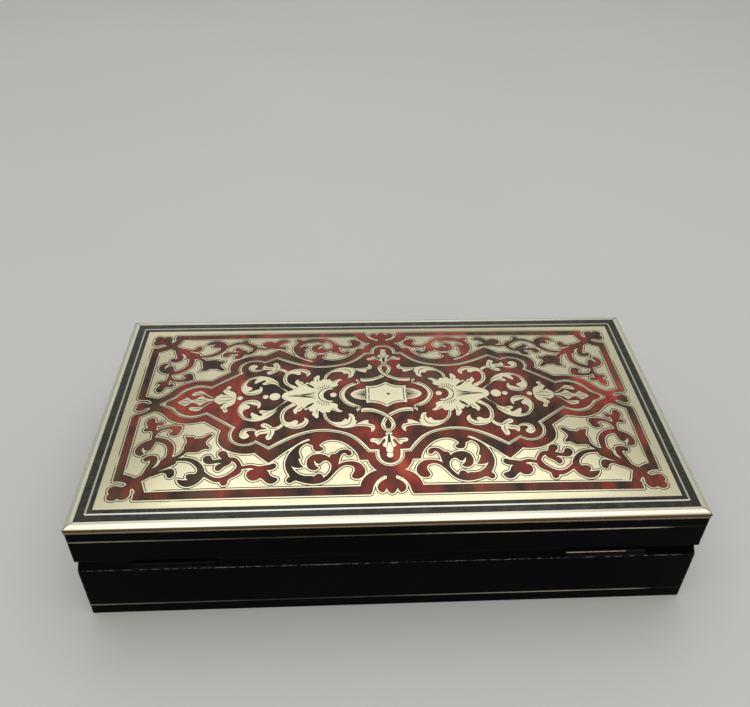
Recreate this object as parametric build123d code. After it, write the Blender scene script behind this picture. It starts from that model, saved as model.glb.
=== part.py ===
from build123d import *
import math
import os

# Overall sizes of the closed box, in millimetres.
box_width = 290.0
box_depth = 154.0
base_height = 36.5
lid_rim_height = 26.8
wall = 9.0
bottom_board = 5.0

# Crown of the lid: how far its middle rises above the flat border,
# and how square the crown is along and across (1 would be a box, 0 a parabola).
crown_rise = 7.6
crown_square_x = 0.64
crown_square_y = -0.30
veneer = 1.0
lid_board_edge = 5.3

# Bands round the top, from the outside in.
moulding_width = 4.0
moulding_height = 3.8
moulding_overhang = 0.4
moulding_flat = 0.9
moulding_fall = 1.6
moulding_shoulder_in = 1.0
moulding_shoulder_fall = 0.4
moulding_fillet = 0.4
cove_deep = 0.6
cove_high = 0.8
cove_bulge = 0.1
outer_band = 3.7
top_string = 0.9
inner_band = 2.2
top_string_corner = 1.0

# Brass lines let into the walls.
wall_string = 0.8
wall_string_deep = 0.7
lid_string_drop = 9.6
base_string_height = 6.6

# Groove along the back joint, and the butt hinges that lie in it.
groove_deep = 3.5
hinge_length = 38.0
hinge_spacing = 201.5
leaf_thick = 1.0
leaf_inset = 1.2
knuckle_radius = 1.9
knuckle_clearance = 0.3
knuckle_gap = 0.2
pin_radius = 0.8
pin_clearance = 0.1
screw_head_radius = 1.5
screw_shank_radius = 0.75
screw_length = 6.5
screw_slot = 0.4
screw_pitch = 13.0

# Link lock in the middle of the front.
lock_length = 32.0
lock_thick = 6.5
lock_height = 17.0
lock_plate_length = 41.0
lock_plate_thick = 1.2
bolt_thick = 1.8
bolt_travel = 4.0
bolt_clearance = 0.2
bolt_bar_high = 2.5
bolt_post_wide = 2.5
bolt_tine_long = 6.5
lock_plate_lip = 0.6
lock_wall = 1.4
keyhole_room = 9.0
link_plate_length = 34.0
link_plate_width = 6.0
link_screw_inset = 2.4
staple_thick = 1.5
staple_width = 4.0
staple_length = 7.0
staple_eye_low = 0.9
staple_spacing = 16.0
staple_clearance = 0.3
keyhole_radius = 1.3
keyhole_slot = 1.1
escutcheon_half_width = 4.2
escutcheon_half_height = 5.5
escutcheon_thick = 0.8

# Linings.
floor_lining = 1.5
wall_lining = 0.8
lid_lining = 1.0
lining_drop = 0.5

# The ornament was drawn for a field of this half length and half depth,
# and stretches with the field if the box changes size.
drawn_half_x = 134.6
drawn_half_y = 66.4

# How far the shapes that cut others run past them.
cut_margin = 2.0

# Places worked out from the sizes above.
joint_z = base_height
rim_z = base_height + lid_rim_height
moulding_z = rim_z - moulding_height
board_z = rim_z - veneer - lid_board_edge
band_x = box_width / 2 + moulding_overhang - moulding_width
band_y = box_depth / 2 + moulding_overhang - moulding_width
string_x = band_x - outer_band
string_y = band_y - outer_band
field_x = string_x - top_string - inner_band
field_y = string_y - top_string - inner_band
inner_x = box_width / 2 - wall
inner_y = box_depth / 2 - wall
hinge_y = box_depth / 2 - groove_deep + (knuckle_radius + knuckle_clearance) * math.sqrt(2)
leaf_inner_y = inner_y + leaf_inset
scale_x = field_x / drawn_half_x
scale_y = field_y / drawn_half_y

# Ornament outlines, in one quarter of the field, from the middle of the lid outwards.
# A third value of 1 marks a sharp corner, the other points lie on smooth curves.

# Shell showing outside the strapwork: corner foil, tree of scrolls, star, trefoils.
corner_foil = [
    (129.1, 43.0, 1), (129.1, 49.8, 1), (126.0, 50.2), (123.5, 51.1), (122.2, 52.1, 1), (122.8, 53.0),
    (124.5, 53.8), (127.0, 53.0), (128.9, 53.4), (130.0, 55.0), (129.8, 56.6), (128.9, 57.4, 1),
    (129.7, 58.5), (129.8, 60.0), (128.5, 61.2), (126.5, 61.3), (124.9, 60.0, 1), (124.1, 60.8),
    (122.5, 61.1), (120.8, 60.2), (120.0, 58.0), (120.1, 55.5), (119.2, 54.6, 1), (118.1, 55.9),
    (117.2, 58.0), (117.0, 60.2), (117.0, 61.7, 1), (110.0, 61.7, 1), (110.0, 57.5, 1), (113.4, 57.5, 1),
    (114.3, 55.5), (115.2, 53.0), (116.1, 50.8, 1), (114.0, 49.0), (112.0, 48.0, 1), (113.5, 44.2, 1),
    (115.5, 46.0), (117.2, 47.6), (119.5, 48.9, 1), (122.0, 47.4), (125.4, 46.1, 1), (125.4, 43.0, 1),
]
curl_low = [
    (116.6, 48.0, 1), (115.8, 45.5), (114.8, 42.5), (113.9, 40.0), (114.2, 38.4), (116.0, 38.9),
    (117.2, 38.1), (117.2, 36.9), (115.8, 35.9), (113.3, 35.6), (111.3, 36.6), (110.7, 38.6),
    (111.0, 40.8), (112.0, 42.6), (112.8, 43.9, 1), (110.6, 44.5, 1), (111.6, 48.0, 1),
]
trunk = [
    (116.6, 48.0, 1), (112.8, 43.8, 1), (110.8, 42.8), (109.3, 41.0), (108.8, 38.9), (107.0, 37.4),
    (106.6, 35.0), (106.8, 32.5), (108.0, 29.5), (110.1, 27.8), (112.1, 27.0), (114.3, 26.9, 1),
    (114.3, 23.9, 1), (111.6, 24.5), (108.8, 25.5), (106.3, 27.5), (104.3, 30.5), (103.8, 33.5),
    (104.2, 37.4, 1), (102.8, 37.2), (101.0, 36.2), (99.7, 34.8, 1), (98.8, 33.0, 1), (98.1, 36.0, 1),
    (100.1, 37.5), (101.2, 38.4, 1), (101.6, 40.1, 1), (101.8, 41.6, 1), (104.6, 43.2), (107.1, 44.4),
    (110.1, 46.1, 1), (110.2, 47.4, 1), (111.6, 48.0), (113.6, 49.1), (115.6, 50.6, 1),
]
thorn = [
    (110.6, 46.0, 1), (107.6, 45.3), (105.1, 44.6), (103.3, 44.4), (102.1, 45.2), (101.4, 47.2),
    (101.8, 49.0), (103.1, 49.7), (104.3, 49.0), (104.8, 47.8), (105.8, 46.8), (107.1, 46.5),
    (109.1, 47.1), (111.6, 48.2, 1),
]
sprig = [
    (115.3, 26.4, 1), (115.8, 25.0), (115.9, 22.0), (116.5, 19.6), (117.8, 18.8), (119.9, 18.9),
    (120.8, 18.1), (120.6, 17.0), (119.2, 16.8), (119.5, 15.2), (120.6, 13.0), (120.1, 11.0),
    (118.8, 9.9), (117.5, 10.2), (116.5, 11.8), (116.0, 13.5), (114.5, 13.6), (112.8, 13.2),
    (111.8, 14.0), (112.1, 15.4), (113.2, 15.9), (114.2, 15.2), (114.8, 16.5), (114.2, 19.2, 1),
    (112.5, 18.1), (109.0, 17.2), (104.2, 17.1), (102.1, 18.2), (102.4, 20.8), (103.0, 22.5),
    (104.6, 23.6), (106.5, 23.2), (107.6, 22.2), (106.2, 20.2), (107.2, 19.2), (109.5, 18.9),
    (112.0, 19.5), (113.4, 21.0), (114.2, 22.5), (114.4, 25.6, 1),
]
hook = [
    (113.5, 26.9, 1), (113.5, 24.0, 1), (115.8, 25.0), (117.5, 25.6), (120.0, 26.9), (121.8, 29.0),
    (122.5, 31.2), (122.1, 33.2), (120.2, 34.8), (117.8, 34.1, 1), (118.8, 33.0), (119.5, 31.2),
    (119.0, 29.5, 1), (118.0, 31.2), (116.5, 32.2), (115.1, 31.4), (114.3, 29.5),
]
scroll_low = [
    (103.4, 38.6, 1), (97.4, 38.3), (93.4, 39.4), (89.9, 42.1), (87.8, 45.5), (87.4, 48.8),
    (88.8, 52.0), (91.4, 54.2), (94.4, 55.1), (97.4, 54.0), (99.5, 50.9, 1), (97.0, 51.4),
    (93.6, 51.3, 1), (94.9, 50.7), (95.5, 50.0), (95.3, 48.6), (93.7, 48.0), (91.4, 47.9), (90.7, 46.2),
    (92.2, 43.2), (94.9, 40.9), (98.2, 39.9), (103.4, 40.2, 1),
]
trefoil_ring = [
    (88.9, 46.0, 1), (86.9, 47.5), (83.9, 49.9), (79.9, 50.8), (76.2, 49.2), (73.3, 46.5),
    (72.5, 44.8), (73.5, 42.6), (75.4, 41.4, 1), (76.2, 43.2), (78.3, 44.4), (79.5, 45.5),
    (81.2, 46.8), (82.4, 45.9), (82.4, 44.2), (80.9, 43.0), (79.4, 42.6, 1), (83.2, 42.4),
    (86.2, 42.6), (88.1, 41.5), (88.8, 39.5), (87.7, 37.9), (85.7, 38.0), (84.9, 39.4),
    (84.2, 40.4), (81.9, 40.3), (79.8, 40.4, 1), (80.9, 38.8), (82.0, 37.2), (81.2, 35.6),
    (79.2, 35.5), (77.7, 37.0), (76.8, 39.1), (74.2, 39.6), (71.7, 41.8), (70.4, 44.2, 1),
    (70.2, 46.4, 1), (72.7, 50.0), (76.2, 52.8), (76.4, 54.4), (77.7, 55.1), (78.9, 54.4),
    (79.5, 52.9, 1), (83.4, 52.2), (86.7, 50.1), (88.9, 49.5, 1),
]
trefoil_end = [
    (71.4, 44.2, 1), (68.9, 44.6), (66.9, 44.2), (64.2, 44.6), (62.4, 45.1), (59.4, 44.7),
    (56.9, 44.3), (55.5, 43.7), (54.3, 44.3), (54.2, 45.6), (55.3, 46.8), (57.4, 47.2),
    (59.4, 47.5, 1), (57.5, 48.5), (56.5, 50.4), (54.6, 51.5), (53.1, 52.4), (54.0, 54.0),
    (56.1, 54.8), (58.4, 53.8), (60.0, 52.1), (61.3, 51.4, 1), (62.8, 52.5), (64.9, 52.7),
    (67.0, 51.2), (67.5, 49.0), (66.2, 47.2), (64.2, 46.9, 1), (64.9, 46.1), (67.4, 45.9),
    (69.7, 46.3), (71.4, 47.0, 1),
]
star = [
    (99.5, 24.6, 1), (97.3, 25.4), (95.5, 25.6), (94.5, 26.7), (92.3, 26.6), (90.4, 26.4),
    (88.8, 25.2), (87.0, 24.4), (86.0, 24.8, 1), (86.8, 26.1), (88.3, 28.0), (88.9, 30.0),
    (88.2, 31.2), (86.8, 33.0), (87.2, 33.8, 1), (89.3, 33.5), (91.3, 34.8), (94.3, 35.1),
    (96.8, 34.9), (98.8, 36.2, 1), (99.4, 34.8, 1), (98.9, 33.0), (98.8, 31.0), (98.0, 28.5), (98.4, 26.8),
]
side_foil = [
    (129.1, 10.1, 1), (129.1, 7.3, 1), (128.2, 6.1), (125.0, 5.3), (122.2, 4.1), (120.8, 1.9, 1),
    (122.8, 1.6), (124.5, 2.6), (126.5, 3.0), (128.0, 2.2), (128.5, 0.8), (128.0, 0.2, 1),
    (128.4, -1.0, 1), (115.0, -1.0, 1), (118.2, 4.7, 1), (122.0, 6.2), (125.4, 7.7, 1), (125.4, 10.1, 1),
]
middle_foil = [
    (-1.0, 45.0, 1), (6.5, 49.0, 1), (10.7, 51.0), (12.8, 53.2), (14.5, 57.5, 1), (16.0, 57.5, 1),
    (16.0, 61.7, 1), (10.0, 61.7, 1), (9.2, 60.0), (8.7, 58.0), (7.2, 55.0), (4.8, 52.8),
    (2.3, 51.8, 1), (2.0, 53.5, 1), (4.3, 54.8), (6.0, 56.5), (6.5, 58.8), (5.3, 60.5),
    (4.0, 60.8), (3.3, 60.0), (2.5, 58.3, 1), (1.8, 60.0), (0.6, 61.3), (-1.0, 61.3, 1),
]

# Edge of the brass spandrels beside the strapwork, closed through the middle of the lid.
spandrel_edge = [
    (-1.0, -1.0, 1), (-1.0, 50.0, 1), (6.5, 49.0, 1), (9.8, 45.0), (10.6, 42.8, 1), (14.6, 42.8, 1),
    (16.3, 38.0), (18.3, 35.5), (21.8, 32.5), (26.3, 30.8), (29.3, 30.8), (32.3, 32.0), (33.9, 33.7, 1),
    (38.2, 30.6, 1), (39.2, 29.6, 1), (42.3, 31.0), (46.3, 34.0), (50.3, 37.0), (54.3, 40.5),
    (57.8, 43.2, 1), (64.8, 37.1, 1), (69.8, 37.4), (74.3, 36.5), (78.8, 34.3), (81.8, 31.5),
    (83.0, 28.0), (82.8, 24.8), (82.2, 22.4, 1), (91.3, 15.4, 1), (95.3, 15.8), (98.3, 16.1),
    (101.8, 15.7), (105.8, 14.2), (109.1, 12.1), (111.8, 9.1), (114.3, 6.6), (118.2, 4.7, 1),
    (120.0, -1.0, 1),
]

# Shell inside the big scroll of each spandrel, round its spiral and leaves.
spiral_ground = [
    (33.9, 31.4, 1), (33.9, 33.7), (33.8, 34.3), (32.7, 35.2), (32.1, 36.2), (32.7, 36.9), (34.1, 37.3),
    (35.9, 36.9), (36.7, 35.6), (37.2, 33.7), (38.4, 33.1), (39.7, 32.3, 1), (41.5, 33.3), (43.1, 35.1),
    (43.7, 37.2), (43.4, 39.1), (42.6, 40.9, 1), (43.9, 41.7, 1), (43.1, 43.5), (42.3, 45.1),
    (41.1, 46.1, 1), (43.4, 46.5), (45.5, 46.1), (47.2, 45.1, 1), (46.1, 47.2), (44.4, 49.2),
    (42.3, 50.6), (39.9, 51.2), (37.6, 51.2), (36.1, 51.7, 1), (35.5, 50.9), (34.4, 50.2), (33.3, 50.2),
    (32.4, 51.0), (31.7, 52.5, 1), (30.2, 51.2), (28.6, 49.1), (27.9, 46.9), (28.2, 44.8), (29.4, 43.3),
    (30.9, 42.7), (32.3, 43.3), (33.4, 44.3), (34.4, 44.4), (35.2, 43.8), (35.9, 42.7), (36.5, 42.3, 1),
    (36.2, 43.8), (35.9, 45.1), (35.1, 46.0), (34.0, 46.8, 1), (34.7, 47.5), (36.0, 48.0), (37.6, 47.7),
    (38.9, 46.7), (39.6, 44.8), (39.5, 42.7), (38.6, 40.9), (37.0, 39.6), (34.9, 39.1), (32.8, 39.2),
    (31.0, 39.8), (29.4, 41.0), (28.7, 41.6, 1), (28.5, 40.0), (27.8, 39.3), (26.2, 39.2), (24.9, 38.1),
    (23.4, 37.1), (21.5, 36.8), (19.7, 37.2), (18.7, 38.3), (18.6, 39.6), (19.7, 40.2), (20.6, 39.8),
    (21.2, 38.9), (22.3, 38.8), (23.4, 39.8), (24.3, 41.9), (24.7, 44.1), (24.9, 45.6, 1), (22.8, 44.3),
    (20.7, 43.8), (18.4, 43.7), (16.0, 44.2), (14.1, 45.4), (12.8, 47.2), (12.2, 49.1), (12.4, 50.6),
    (13.4, 52.1), (14.9, 53.0), (16.5, 53.2), (17.8, 52.7), (18.3, 51.7), (17.8, 50.5), (17.2, 49.3),
    (17.0, 47.7), (17.6, 46.6), (19.1, 45.8), (21.2, 45.6), (23.4, 46.4), (25.2, 48.0), (27.3, 50.4),
    (29.4, 53.0), (31.8, 54.6), (34.7, 55.4), (37.6, 55.4), (40.5, 54.8), (43.1, 53.9), (44.7, 53.4),
    (45.9, 53.9), (47.0, 54.6), (48.4, 54.2), (48.8, 53.0), (48.2, 51.9), (47.2, 51.3, 1), (48.6, 48.8),
    (49.5, 46.4), (49.8, 43.8), (49.3, 41.2), (48.1, 38.3), (46.2, 35.6), (43.9, 33.4), (41.8, 32.3),
    (39.9, 31.3), (38.2, 30.6, 1), (37.6, 29.6, 1), (36.0, 29.1, 1),
]

# Brass inside the cartouche.
strapwork = [
    (-1.0, 46.9, 1), (1.0, 46.8), (3.0, 46.2), (5.0, 44.8), (6.6, 42.5), (7.1, 39.9), (7.0, 38.8, 1),
    (10.4, 38.7, 1), (12.3, 36.2), (14.3, 33.7), (19.3, 29.0), (26.2, 26.3), (32.8, 25.5), (39.2, 26.2),
    (45.3, 28.4), (51.8, 31.9), (58.2, 35.7, 1), (64.8, 31.3, 1), (67.2, 32.6), (69.8, 33.0), (74.6, 31.8),
    (77.5, 29.3), (78.6, 26.0), (78.3, 23.0), (77.2, 21.6, 1), (91.0, 10.8, 1), (94.3, 12.1), (97.8, 12.8),
    (101.3, 12.1), (104.8, 10.6), (107.3, 8.1), (109.6, 5.2), (112.4, 3.2), (114.6, 1.9), (117.0, -1.0, 1),
    (113.4, -1.0, 1), (113.0, 0.6), (110.8, 2.2), (108.1, 3.8), (106.4, 6.2), (104.3, 8.2), (101.3, 9.9),
    (97.8, 10.7), (94.8, 10.4), (91.0, 8.9, 1), (75.1, 20.8, 1), (76.4, 23.0), (76.7, 26.0), (75.6, 28.9),
    (73.0, 30.9), (69.8, 31.5), (67.0, 30.9), (64.8, 29.5, 1), (58.3, 33.8, 1), (52.3, 29.8), (46.3, 26.7),
    (39.8, 24.5), (32.8, 23.7), (24.3, 25.0), (17.8, 27.8), (12.3, 33.0), (9.6, 36.8, 1), (5.0, 37.0, 1),
    (4.9, 39.8), (4.3, 42.3), (2.6, 44.2), (1.0, 44.8), (-1.0, 44.8, 1),
]
palmette = [
    (32.4, -1.0, 1), (32.3, 0.6), (32.0, 1.8), (31.1, 3.1), (29.3, 4.2), (27.7, 4.4), (27.1, 5.0, 1),
    (27.8, 5.4), (28.8, 5.7, 1), (27.0, 6.1), (25.6, 6.8), (24.7, 8.0), (25.1, 8.8, 1), (24.6, 10.4),
    (23.5, 11.4), (22.6, 11.9), (23.0, 12.7, 1), (24.3, 12.9), (25.9, 12.3), (27.7, 11.4), (28.4, 11.2, 1),
    (28.6, 12.2), (29.6, 13.0), (30.6, 12.6, 1), (31.4, 13.1), (32.6, 13.4), (33.4, 12.7), (34.3, 11.7, 1),
    (34.6, 13.8), (34.5, 15.4), (35.1, 16.7), (35.7, 16.7), (36.9, 15.6), (37.9, 14.1), (37.9, 13.0),
    (37.5, 12.0, 1), (38.5, 11.9), (39.3, 11.3), (39.7, 10.6), (39.8, 9.6, 1), (40.5, 10.6), (41.2, 10.9),
    (42.0, 10.1), (42.5, 9.3, 1), (43.0, 10.4), (43.6, 11.4), (44.9, 11.8), (45.5, 12.6), (45.7, 13.6, 1),
    (46.4, 13.4), (47.1, 12.5), (47.6, 11.2), (47.0, 9.6), (46.2, 8.5), (45.6, 7.5, 1), (47.0, 5.9),
    (48.4, 4.9, 1), (49.4, 4.3), (51.0, 3.5), (52.6, 2.6), (53.5, 1.4), (53.8, -1.0, 1),
]
leaf_scroll = [
    (47.4, 4.4, 1), (49.7, 6.7), (51.6, 8.4), (53.1, 10.4), (53.9, 12.7), (54.0, 15.4), (53.5, 17.9),
    (52.3, 20.2), (50.2, 22.0), (47.8, 23.0), (45.1, 23.3), (42.3, 22.6), (40.3, 20.9), (39.4, 18.8),
    (39.9, 17.1), (41.0, 16.1), (42.1, 15.4, 1), (41.7, 16.8), (41.9, 18.0), (42.8, 19.1), (44.0, 19.8),
    (45.3, 20.6, 1), (44.7, 19.7), (44.5, 18.7), (45.2, 17.6), (46.4, 17.4), (47.8, 18.2), (49.4, 18.6),
    (50.9, 17.9), (51.6, 16.2), (51.7, 13.5), (51.0, 11.2), (49.7, 9.6), (48.1, 8.5), (45.0, 6.6, 1),
]
flower = [
    (53.0, 18.6, 1), (54.1, 20.7), (55.3, 21.4), (57.0, 21.6), (58.0, 20.6), (59.1, 19.7), (60.7, 18.8),
    (62.3, 18.9), (63.1, 20.0), (62.9, 21.0), (61.6, 21.9), (60.1, 22.3, 1), (62.2, 22.8), (64.1, 23.1),
    (65.5, 23.9), (65.7, 25.4), (65.2, 26.8), (64.3, 27.8, 1), (63.8, 26.9), (63.0, 26.2), (61.9, 25.9),
    (60.5, 25.8), (59.1, 25.5, 1), (59.8, 26.6), (60.3, 27.9), (59.8, 29.2), (58.6, 29.8), (57.4, 29.2),
    (56.8, 27.7), (56.2, 26.5), (55.9, 25.2), (55.9, 23.9, 1), (54.4, 23.5), (53.0, 22.5), (51.2, 20.6, 1),
]
volute = [
    (64.4, 23.4, 1), (66.9, 21.9), (68.6, 21.5), (70.7, 21.8), (72.4, 23.0), (73.2, 25.1), (73.0, 26.9),
    (71.7, 28.2), (70.4, 28.6), (68.9, 28.0), (68.0, 26.8), (68.6, 25.6), (69.7, 24.4, 1), (69.2, 23.8),
    (67.8, 23.5), (66.5, 23.7), (64.6, 24.8, 1),
]
stem_scroll = [
    (50.0, 3.4, 1), (52.6, 5.6), (54.1, 7.2), (55.3, 8.8), (56.0, 10.9), (57.3, 13.0), (59.1, 14.8),
    (61.5, 16.4), (64.1, 17.3), (66.8, 17.5), (69.7, 16.8), (72.3, 15.4), (74.3, 13.0), (75.5, 10.1),
    (75.6, 7.7), (74.7, 5.1), (73.1, 3.0), (71.0, 1.9), (68.6, 1.7), (66.2, 2.3), (64.4, 3.8), (63.9, 5.9),
    (64.3, 7.7), (65.1, 8.6, 1), (65.7, 8.1), (65.6, 7.2), (66.0, 6.5), (67.6, 5.9), (69.1, 5.2),
    (71.4, 4.7, 1), (70.2, 5.6), (69.3, 6.8), (69.7, 8.0), (71.0, 8.7), (72.2, 9.3), (72.6, 10.6),
    (72.3, 12.2), (71.2, 13.9), (69.4, 15.0), (67.7, 15.0, 1), (68.5, 13.5), (68.8, 11.9), (68.2, 10.8, 1),
    (66.9, 11.7), (65.5, 12.6), (64.1, 13.5), (63.1, 13.5), (62.9, 12.8), (63.9, 11.9), (64.6, 10.9),
    (64.3, 10.0), (62.8, 9.7), (61.0, 10.2), (59.1, 10.2), (57.3, 9.4), (55.9, 8.1), (54.4, 6.3),
    (52.7, 4.4), (50.8, 2.6, 1),
]
thorn_scroll = [
    (32.2, 12.4, 1), (32.1, 15.9), (31.1, 18.0), (29.6, 19.8), (28.0, 21.2), (25.9, 22.5), (23.5, 23.4),
    (20.9, 23.7), (18.2, 23.3), (15.6, 22.6), (13.2, 22.6), (10.9, 22.9), (9.3, 23.5), (8.6, 24.6),
    (8.8, 25.6), (8.4, 26.5, 1), (7.3, 25.6), (6.5, 24.1), (6.7, 22.5), (7.7, 21.4), (9.3, 20.9),
    (9.7, 20.4), (9.6, 19.3), (10.0, 18.5, 1), (11.7, 18.7), (13.5, 19.6), (15.1, 20.4), (16.0, 21.2, 1),
    (15.9, 20.4), (15.5, 19.3), (15.7, 18.5), (16.4, 18.5, 1), (16.3, 17.2), (16.7, 15.6), (17.7, 14.3),
    (19.3, 13.9), (20.0, 14.3, 1), (19.4, 15.9), (19.8, 17.3), (20.4, 18.1, 1), (20.6, 17.6),
    (21.1, 17.3), (22.2, 18.0), (23.0, 19.1), (24.6, 19.4), (26.1, 19.4), (28.0, 18.8), (29.3, 17.5),
    (30.2, 15.9), (30.7, 14.1), (30.9, 12.0, 1),
]
shield = [
    (-1.0, -1.0, 1), (10.4, -1.0, 1), (10.6, 1.5), (10.6, 4.2), (10.5, 6.9, 1), (8.8, 6.5), (6.5, 6.7),
    (3.6, 7.5), (1.6, 8.7), (0.0, 9.9, 1), (-1.0, 9.0, 1),
]
rosette = [
    (10.4, -1.0, 1), (18.6, -1.0, 1), (18.5, 0.4), (17.8, 1.7), (16.0, 3.1), (13.3, 4.1), (10.4, 4.3, 1),
]
oval_strap = [
    (24.4, -1.0, 1), (24.3, 1.0), (23.9, 2.5), (23.0, 4.4), (21.6, 6.4), (19.5, 8.3), (17.4, 9.4),
    (16.2, 9.8, 1), (15.7, 11.5), (15.2, 13.2, 1), (14.7, 12.4), (14.5, 11.7, 1), (13.9, 11.8),
    (13.6, 11.0), (13.6, 9.0), (14.2, 8.3), (14.9, 8.0, 1), (15.6, 7.6), (17.2, 6.7), (19.0, 5.4),
    (20.3, 3.8), (21.1, 2.0), (21.4, 0.6), (21.4, -1.0, 1),
]
knot = [
    (13.1, 10.6, 1), (11.4, 10.2), (9.0, 10.3), (6.4, 10.9), (3.8, 12.2), (1.1, 13.9), (-1.0, 15.9),
    (-2.5, 18.1), (-3.4, 20.4), (-3.7, 22.2), (-3.2, 24.1), (-1.8, 25.7), (0.4, 26.6, 1), (0.4, 24.6, 1),
    (-1.0, 23.9), (-1.4, 22.4), (-1.2, 20.4), (-0.2, 18.5), (1.3, 16.8), (3.2, 15.2), (5.8, 13.8),
    (8.7, 13.1), (11.2, 13.0), (13.3, 13.1, 1),
]
fleur = [
    (-1.0, 25.8, 1), (0.0, 25.8, 1), (1.5, 26.7), (1.75, 28.0), (1.15, 28.75, 1), (2.75, 29.75),
    (5.0, 30.6), (7.25, 30.25), (9.0, 30.6), (9.4, 31.75), (8.5, 32.75), (7.0, 33.1), (5.65, 34.4),
    (4.35, 33.6), (3.25, 31.75), (2.35, 30.75, 1), (2.5, 33.0), (3.5, 34.75), (2.75, 35.6), (2.0, 36.0),
    (1.75, 38.0), (1.15, 38.9, 1), (1.65, 40.0), (1.35, 41.5), (0.3, 42.0), (-1.0, 41.9, 1),
]
bell = [
    (88.6, -1.0, 1), (88.3, 1.0), (87.6, 2.3), (86.5, 3.1), (85.1, 4.2), (83.9, 3.8, 1), (83.5, 4.3),
    (84.7, 5.9), (84.0, 7.3), (83.2, 8.1), (82.9, 9.5), (82.1, 10.2), (80.7, 9.8), (80.3, 8.8),
    (81.2, 7.5), (81.0, 6.7), (79.3, 5.6), (77.6, 3.9), (77.1, 2.0), (77.0, -1.0, 1),
]
pendant = [
    (107.6, -1.0, 1), (107.0, 0.4), (106.0, 1.4), (104.3, 2.5), (102.6, 3.5), (101.5, 2.8), (100.1, 1.3, 1),
    (98.7, 1.4), (97.1, 2.3), (96.0, 3.4), (94.9, 3.7), (93.5, 2.5), (91.8, 1.3), (90.1, 0.9),
    (87.6, 0.8, 1), (87.6, -1.0, 1),
]
pendant_leaf = [
    (100.7, 5.0), (99.9, 6.7), (98.2, 7.5), (96.0, 7.8), (94.3, 6.7), (92.6, 4.8), (91.0, 3.2),
    (87.6, 1.4, 1), (91.5, 2.6), (93.2, 4.0), (95.7, 4.6), (98.2, 4.3), (100.1, 4.2),
]
beads = [(27.3, 1.8), (57.3, 2.9), (62.0, 1.6), (75.1, 1.6)]

# Shell band that runs round the field between the foils: its two edges and its two ends.
band_long_side = (15.0, 57.5, 118.0, 61.7)
band_short_side = (125.4, 9.0, 129.1, 50.0)


def outline(points):
    """Flat face inside a closed line of smooth runs between sharp corners."""
    turn = sum(a[0] * b[1] - b[0] * a[1] for a, b in zip(points, points[1:] + points[:1]))
    if turn < 0:
        points = points[::-1]
    spots = [Vector(p[0] * scale_x, p[1] * scale_y, 0) for p in points]
    corners = [i for i, p in enumerate(points) if len(p) > 2]
    count = len(points)
    if not corners:
        return Face(Wire([Edge.make_spline(spots, periodic=True)]))
    if len(corners) == 1:
        start = corners[0]
        run = [spots[(start + i) % count] for i in range(count + 1)]
        return Face(Wire([Edge.make_spline(run)]))
    edges = []
    for here, there in zip(corners, corners[1:] + [corners[0] + count]):
        run = [spots[i % count] for i in range(here, there + 1)]
        if len(run) == 2:
            edges.append(Edge.make_line(run[0], run[1]))
        else:
            edges.append(Edge.make_spline(run))
    return Face(Wire(edges))


def rectangle(x0, y0, x1, y1):
    return Pos((x0 + x1) / 2, (y0 + y1) / 2) * Rectangle(x1 - x0, y1 - y0)


def drawn_rectangle(x0, y0, x1, y1):
    return rectangle(x0 * scale_x, y0 * scale_y, x1 * scale_x, y1 * scale_y)


def mirrored_x(shape):
    return [shape, shape.mirror(Plane.YZ)]


def mirrored_y(shape):
    return [shape, shape.mirror(Plane.XZ)]


def four_ways(shape):
    return [copy for half in mirrored_x(shape) for copy in mirrored_y(half)]


def upright(flat, low, high):
    """Prism on a flat shape between two heights."""
    return [extrude(Pos(0, 0, low) * face, high - low, dir=(0, 0, 1)) for face in flat.faces()]


def box_between(x0, y0, z0, x1, y1, z1):
    return Pos((x0 + x1) / 2, (y0 + y1) / 2, (z0 + z1) / 2) * Box(x1 - x0, y1 - y0, z1 - z0)


def crown_face(drop):
    """Crowned surface of the lid over the field, lowered by a distance."""

    def bernstein(square):
        # Coefficients of 1 - (1 - square) t^2 - square t^4 for t from -1 to 1.
        a, b = -(1 - square), -square
        power = [1 + a + b, -4 * a - 8 * b, 4 * a + 24 * b, -32 * b, 16 * b]
        return [
            sum(math.comb(i, k) / math.comb(4, k) * power[k] for k in range(i + 1))
            for i in range(5)
        ]

    along = bernstein(crown_square_x)
    across = bernstein(crown_square_y)
    grid = [
        [
            Vector(
                -field_x + field_x * i / 2,
                -field_y + field_y * j / 2,
                rim_z - drop + crown_rise * along[i] * across[j],
            )
            for j in range(5)
        ]
        for i in range(5)
    ]
    return Face.make_bezier_surface(grid)


crown = crown_face(0)


def inlay(flat):
    """Veneer pieces of the crowned field that stand on a flat drawing."""
    pieces = []
    for face in flat.faces():
        low = rim_z - cut_margin
        prism = extrude(Pos(0, 0, low) * face, crown_rise + 2 * cut_margin, dir=(0, 0, 1))
        cut = crown & prism
        for skin in cut.faces():
            pieces.append(Solid.extrude(skin, Vector(0, 0, -veneer)))
    return pieces


def union(shapes):
    faces = [face for shape in shapes for face in shape.faces()]
    return Sketch() + [face if face.normal_at().Z > 0 else -face for face in faces]


def sectors():
    """Flat areas that part a ring on its corner diagonals: back, front, right, left."""
    run = (box_width - box_depth) / 2
    reach = box_depth
    back = make_face(
        Polyline((run, 0), (run + reach, reach), (-run - reach, reach), (-run, 0), close=True)
    )
    right = make_face(Polyline((run, 0), (run + reach, reach), (run + reach, -reach), close=True))
    return [back, back.mirror(Plane.XZ), right, right.mirror(Plane.YZ)]


def mitred(ring):
    return [ring & sector for sector in sectors()]


def ring_between(outer_x, outer_y, inner_x, inner_y):
    return Rectangle(2 * outer_x, 2 * outer_y) - Rectangle(2 * inner_x, 2 * inner_y)


def cylinder_x(radius, x0, x1, y, z):
    return Pos((x0 + x1) / 2, y, z) * Rot(0, 90, 0) * Cylinder(radius, x1 - x0)


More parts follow.
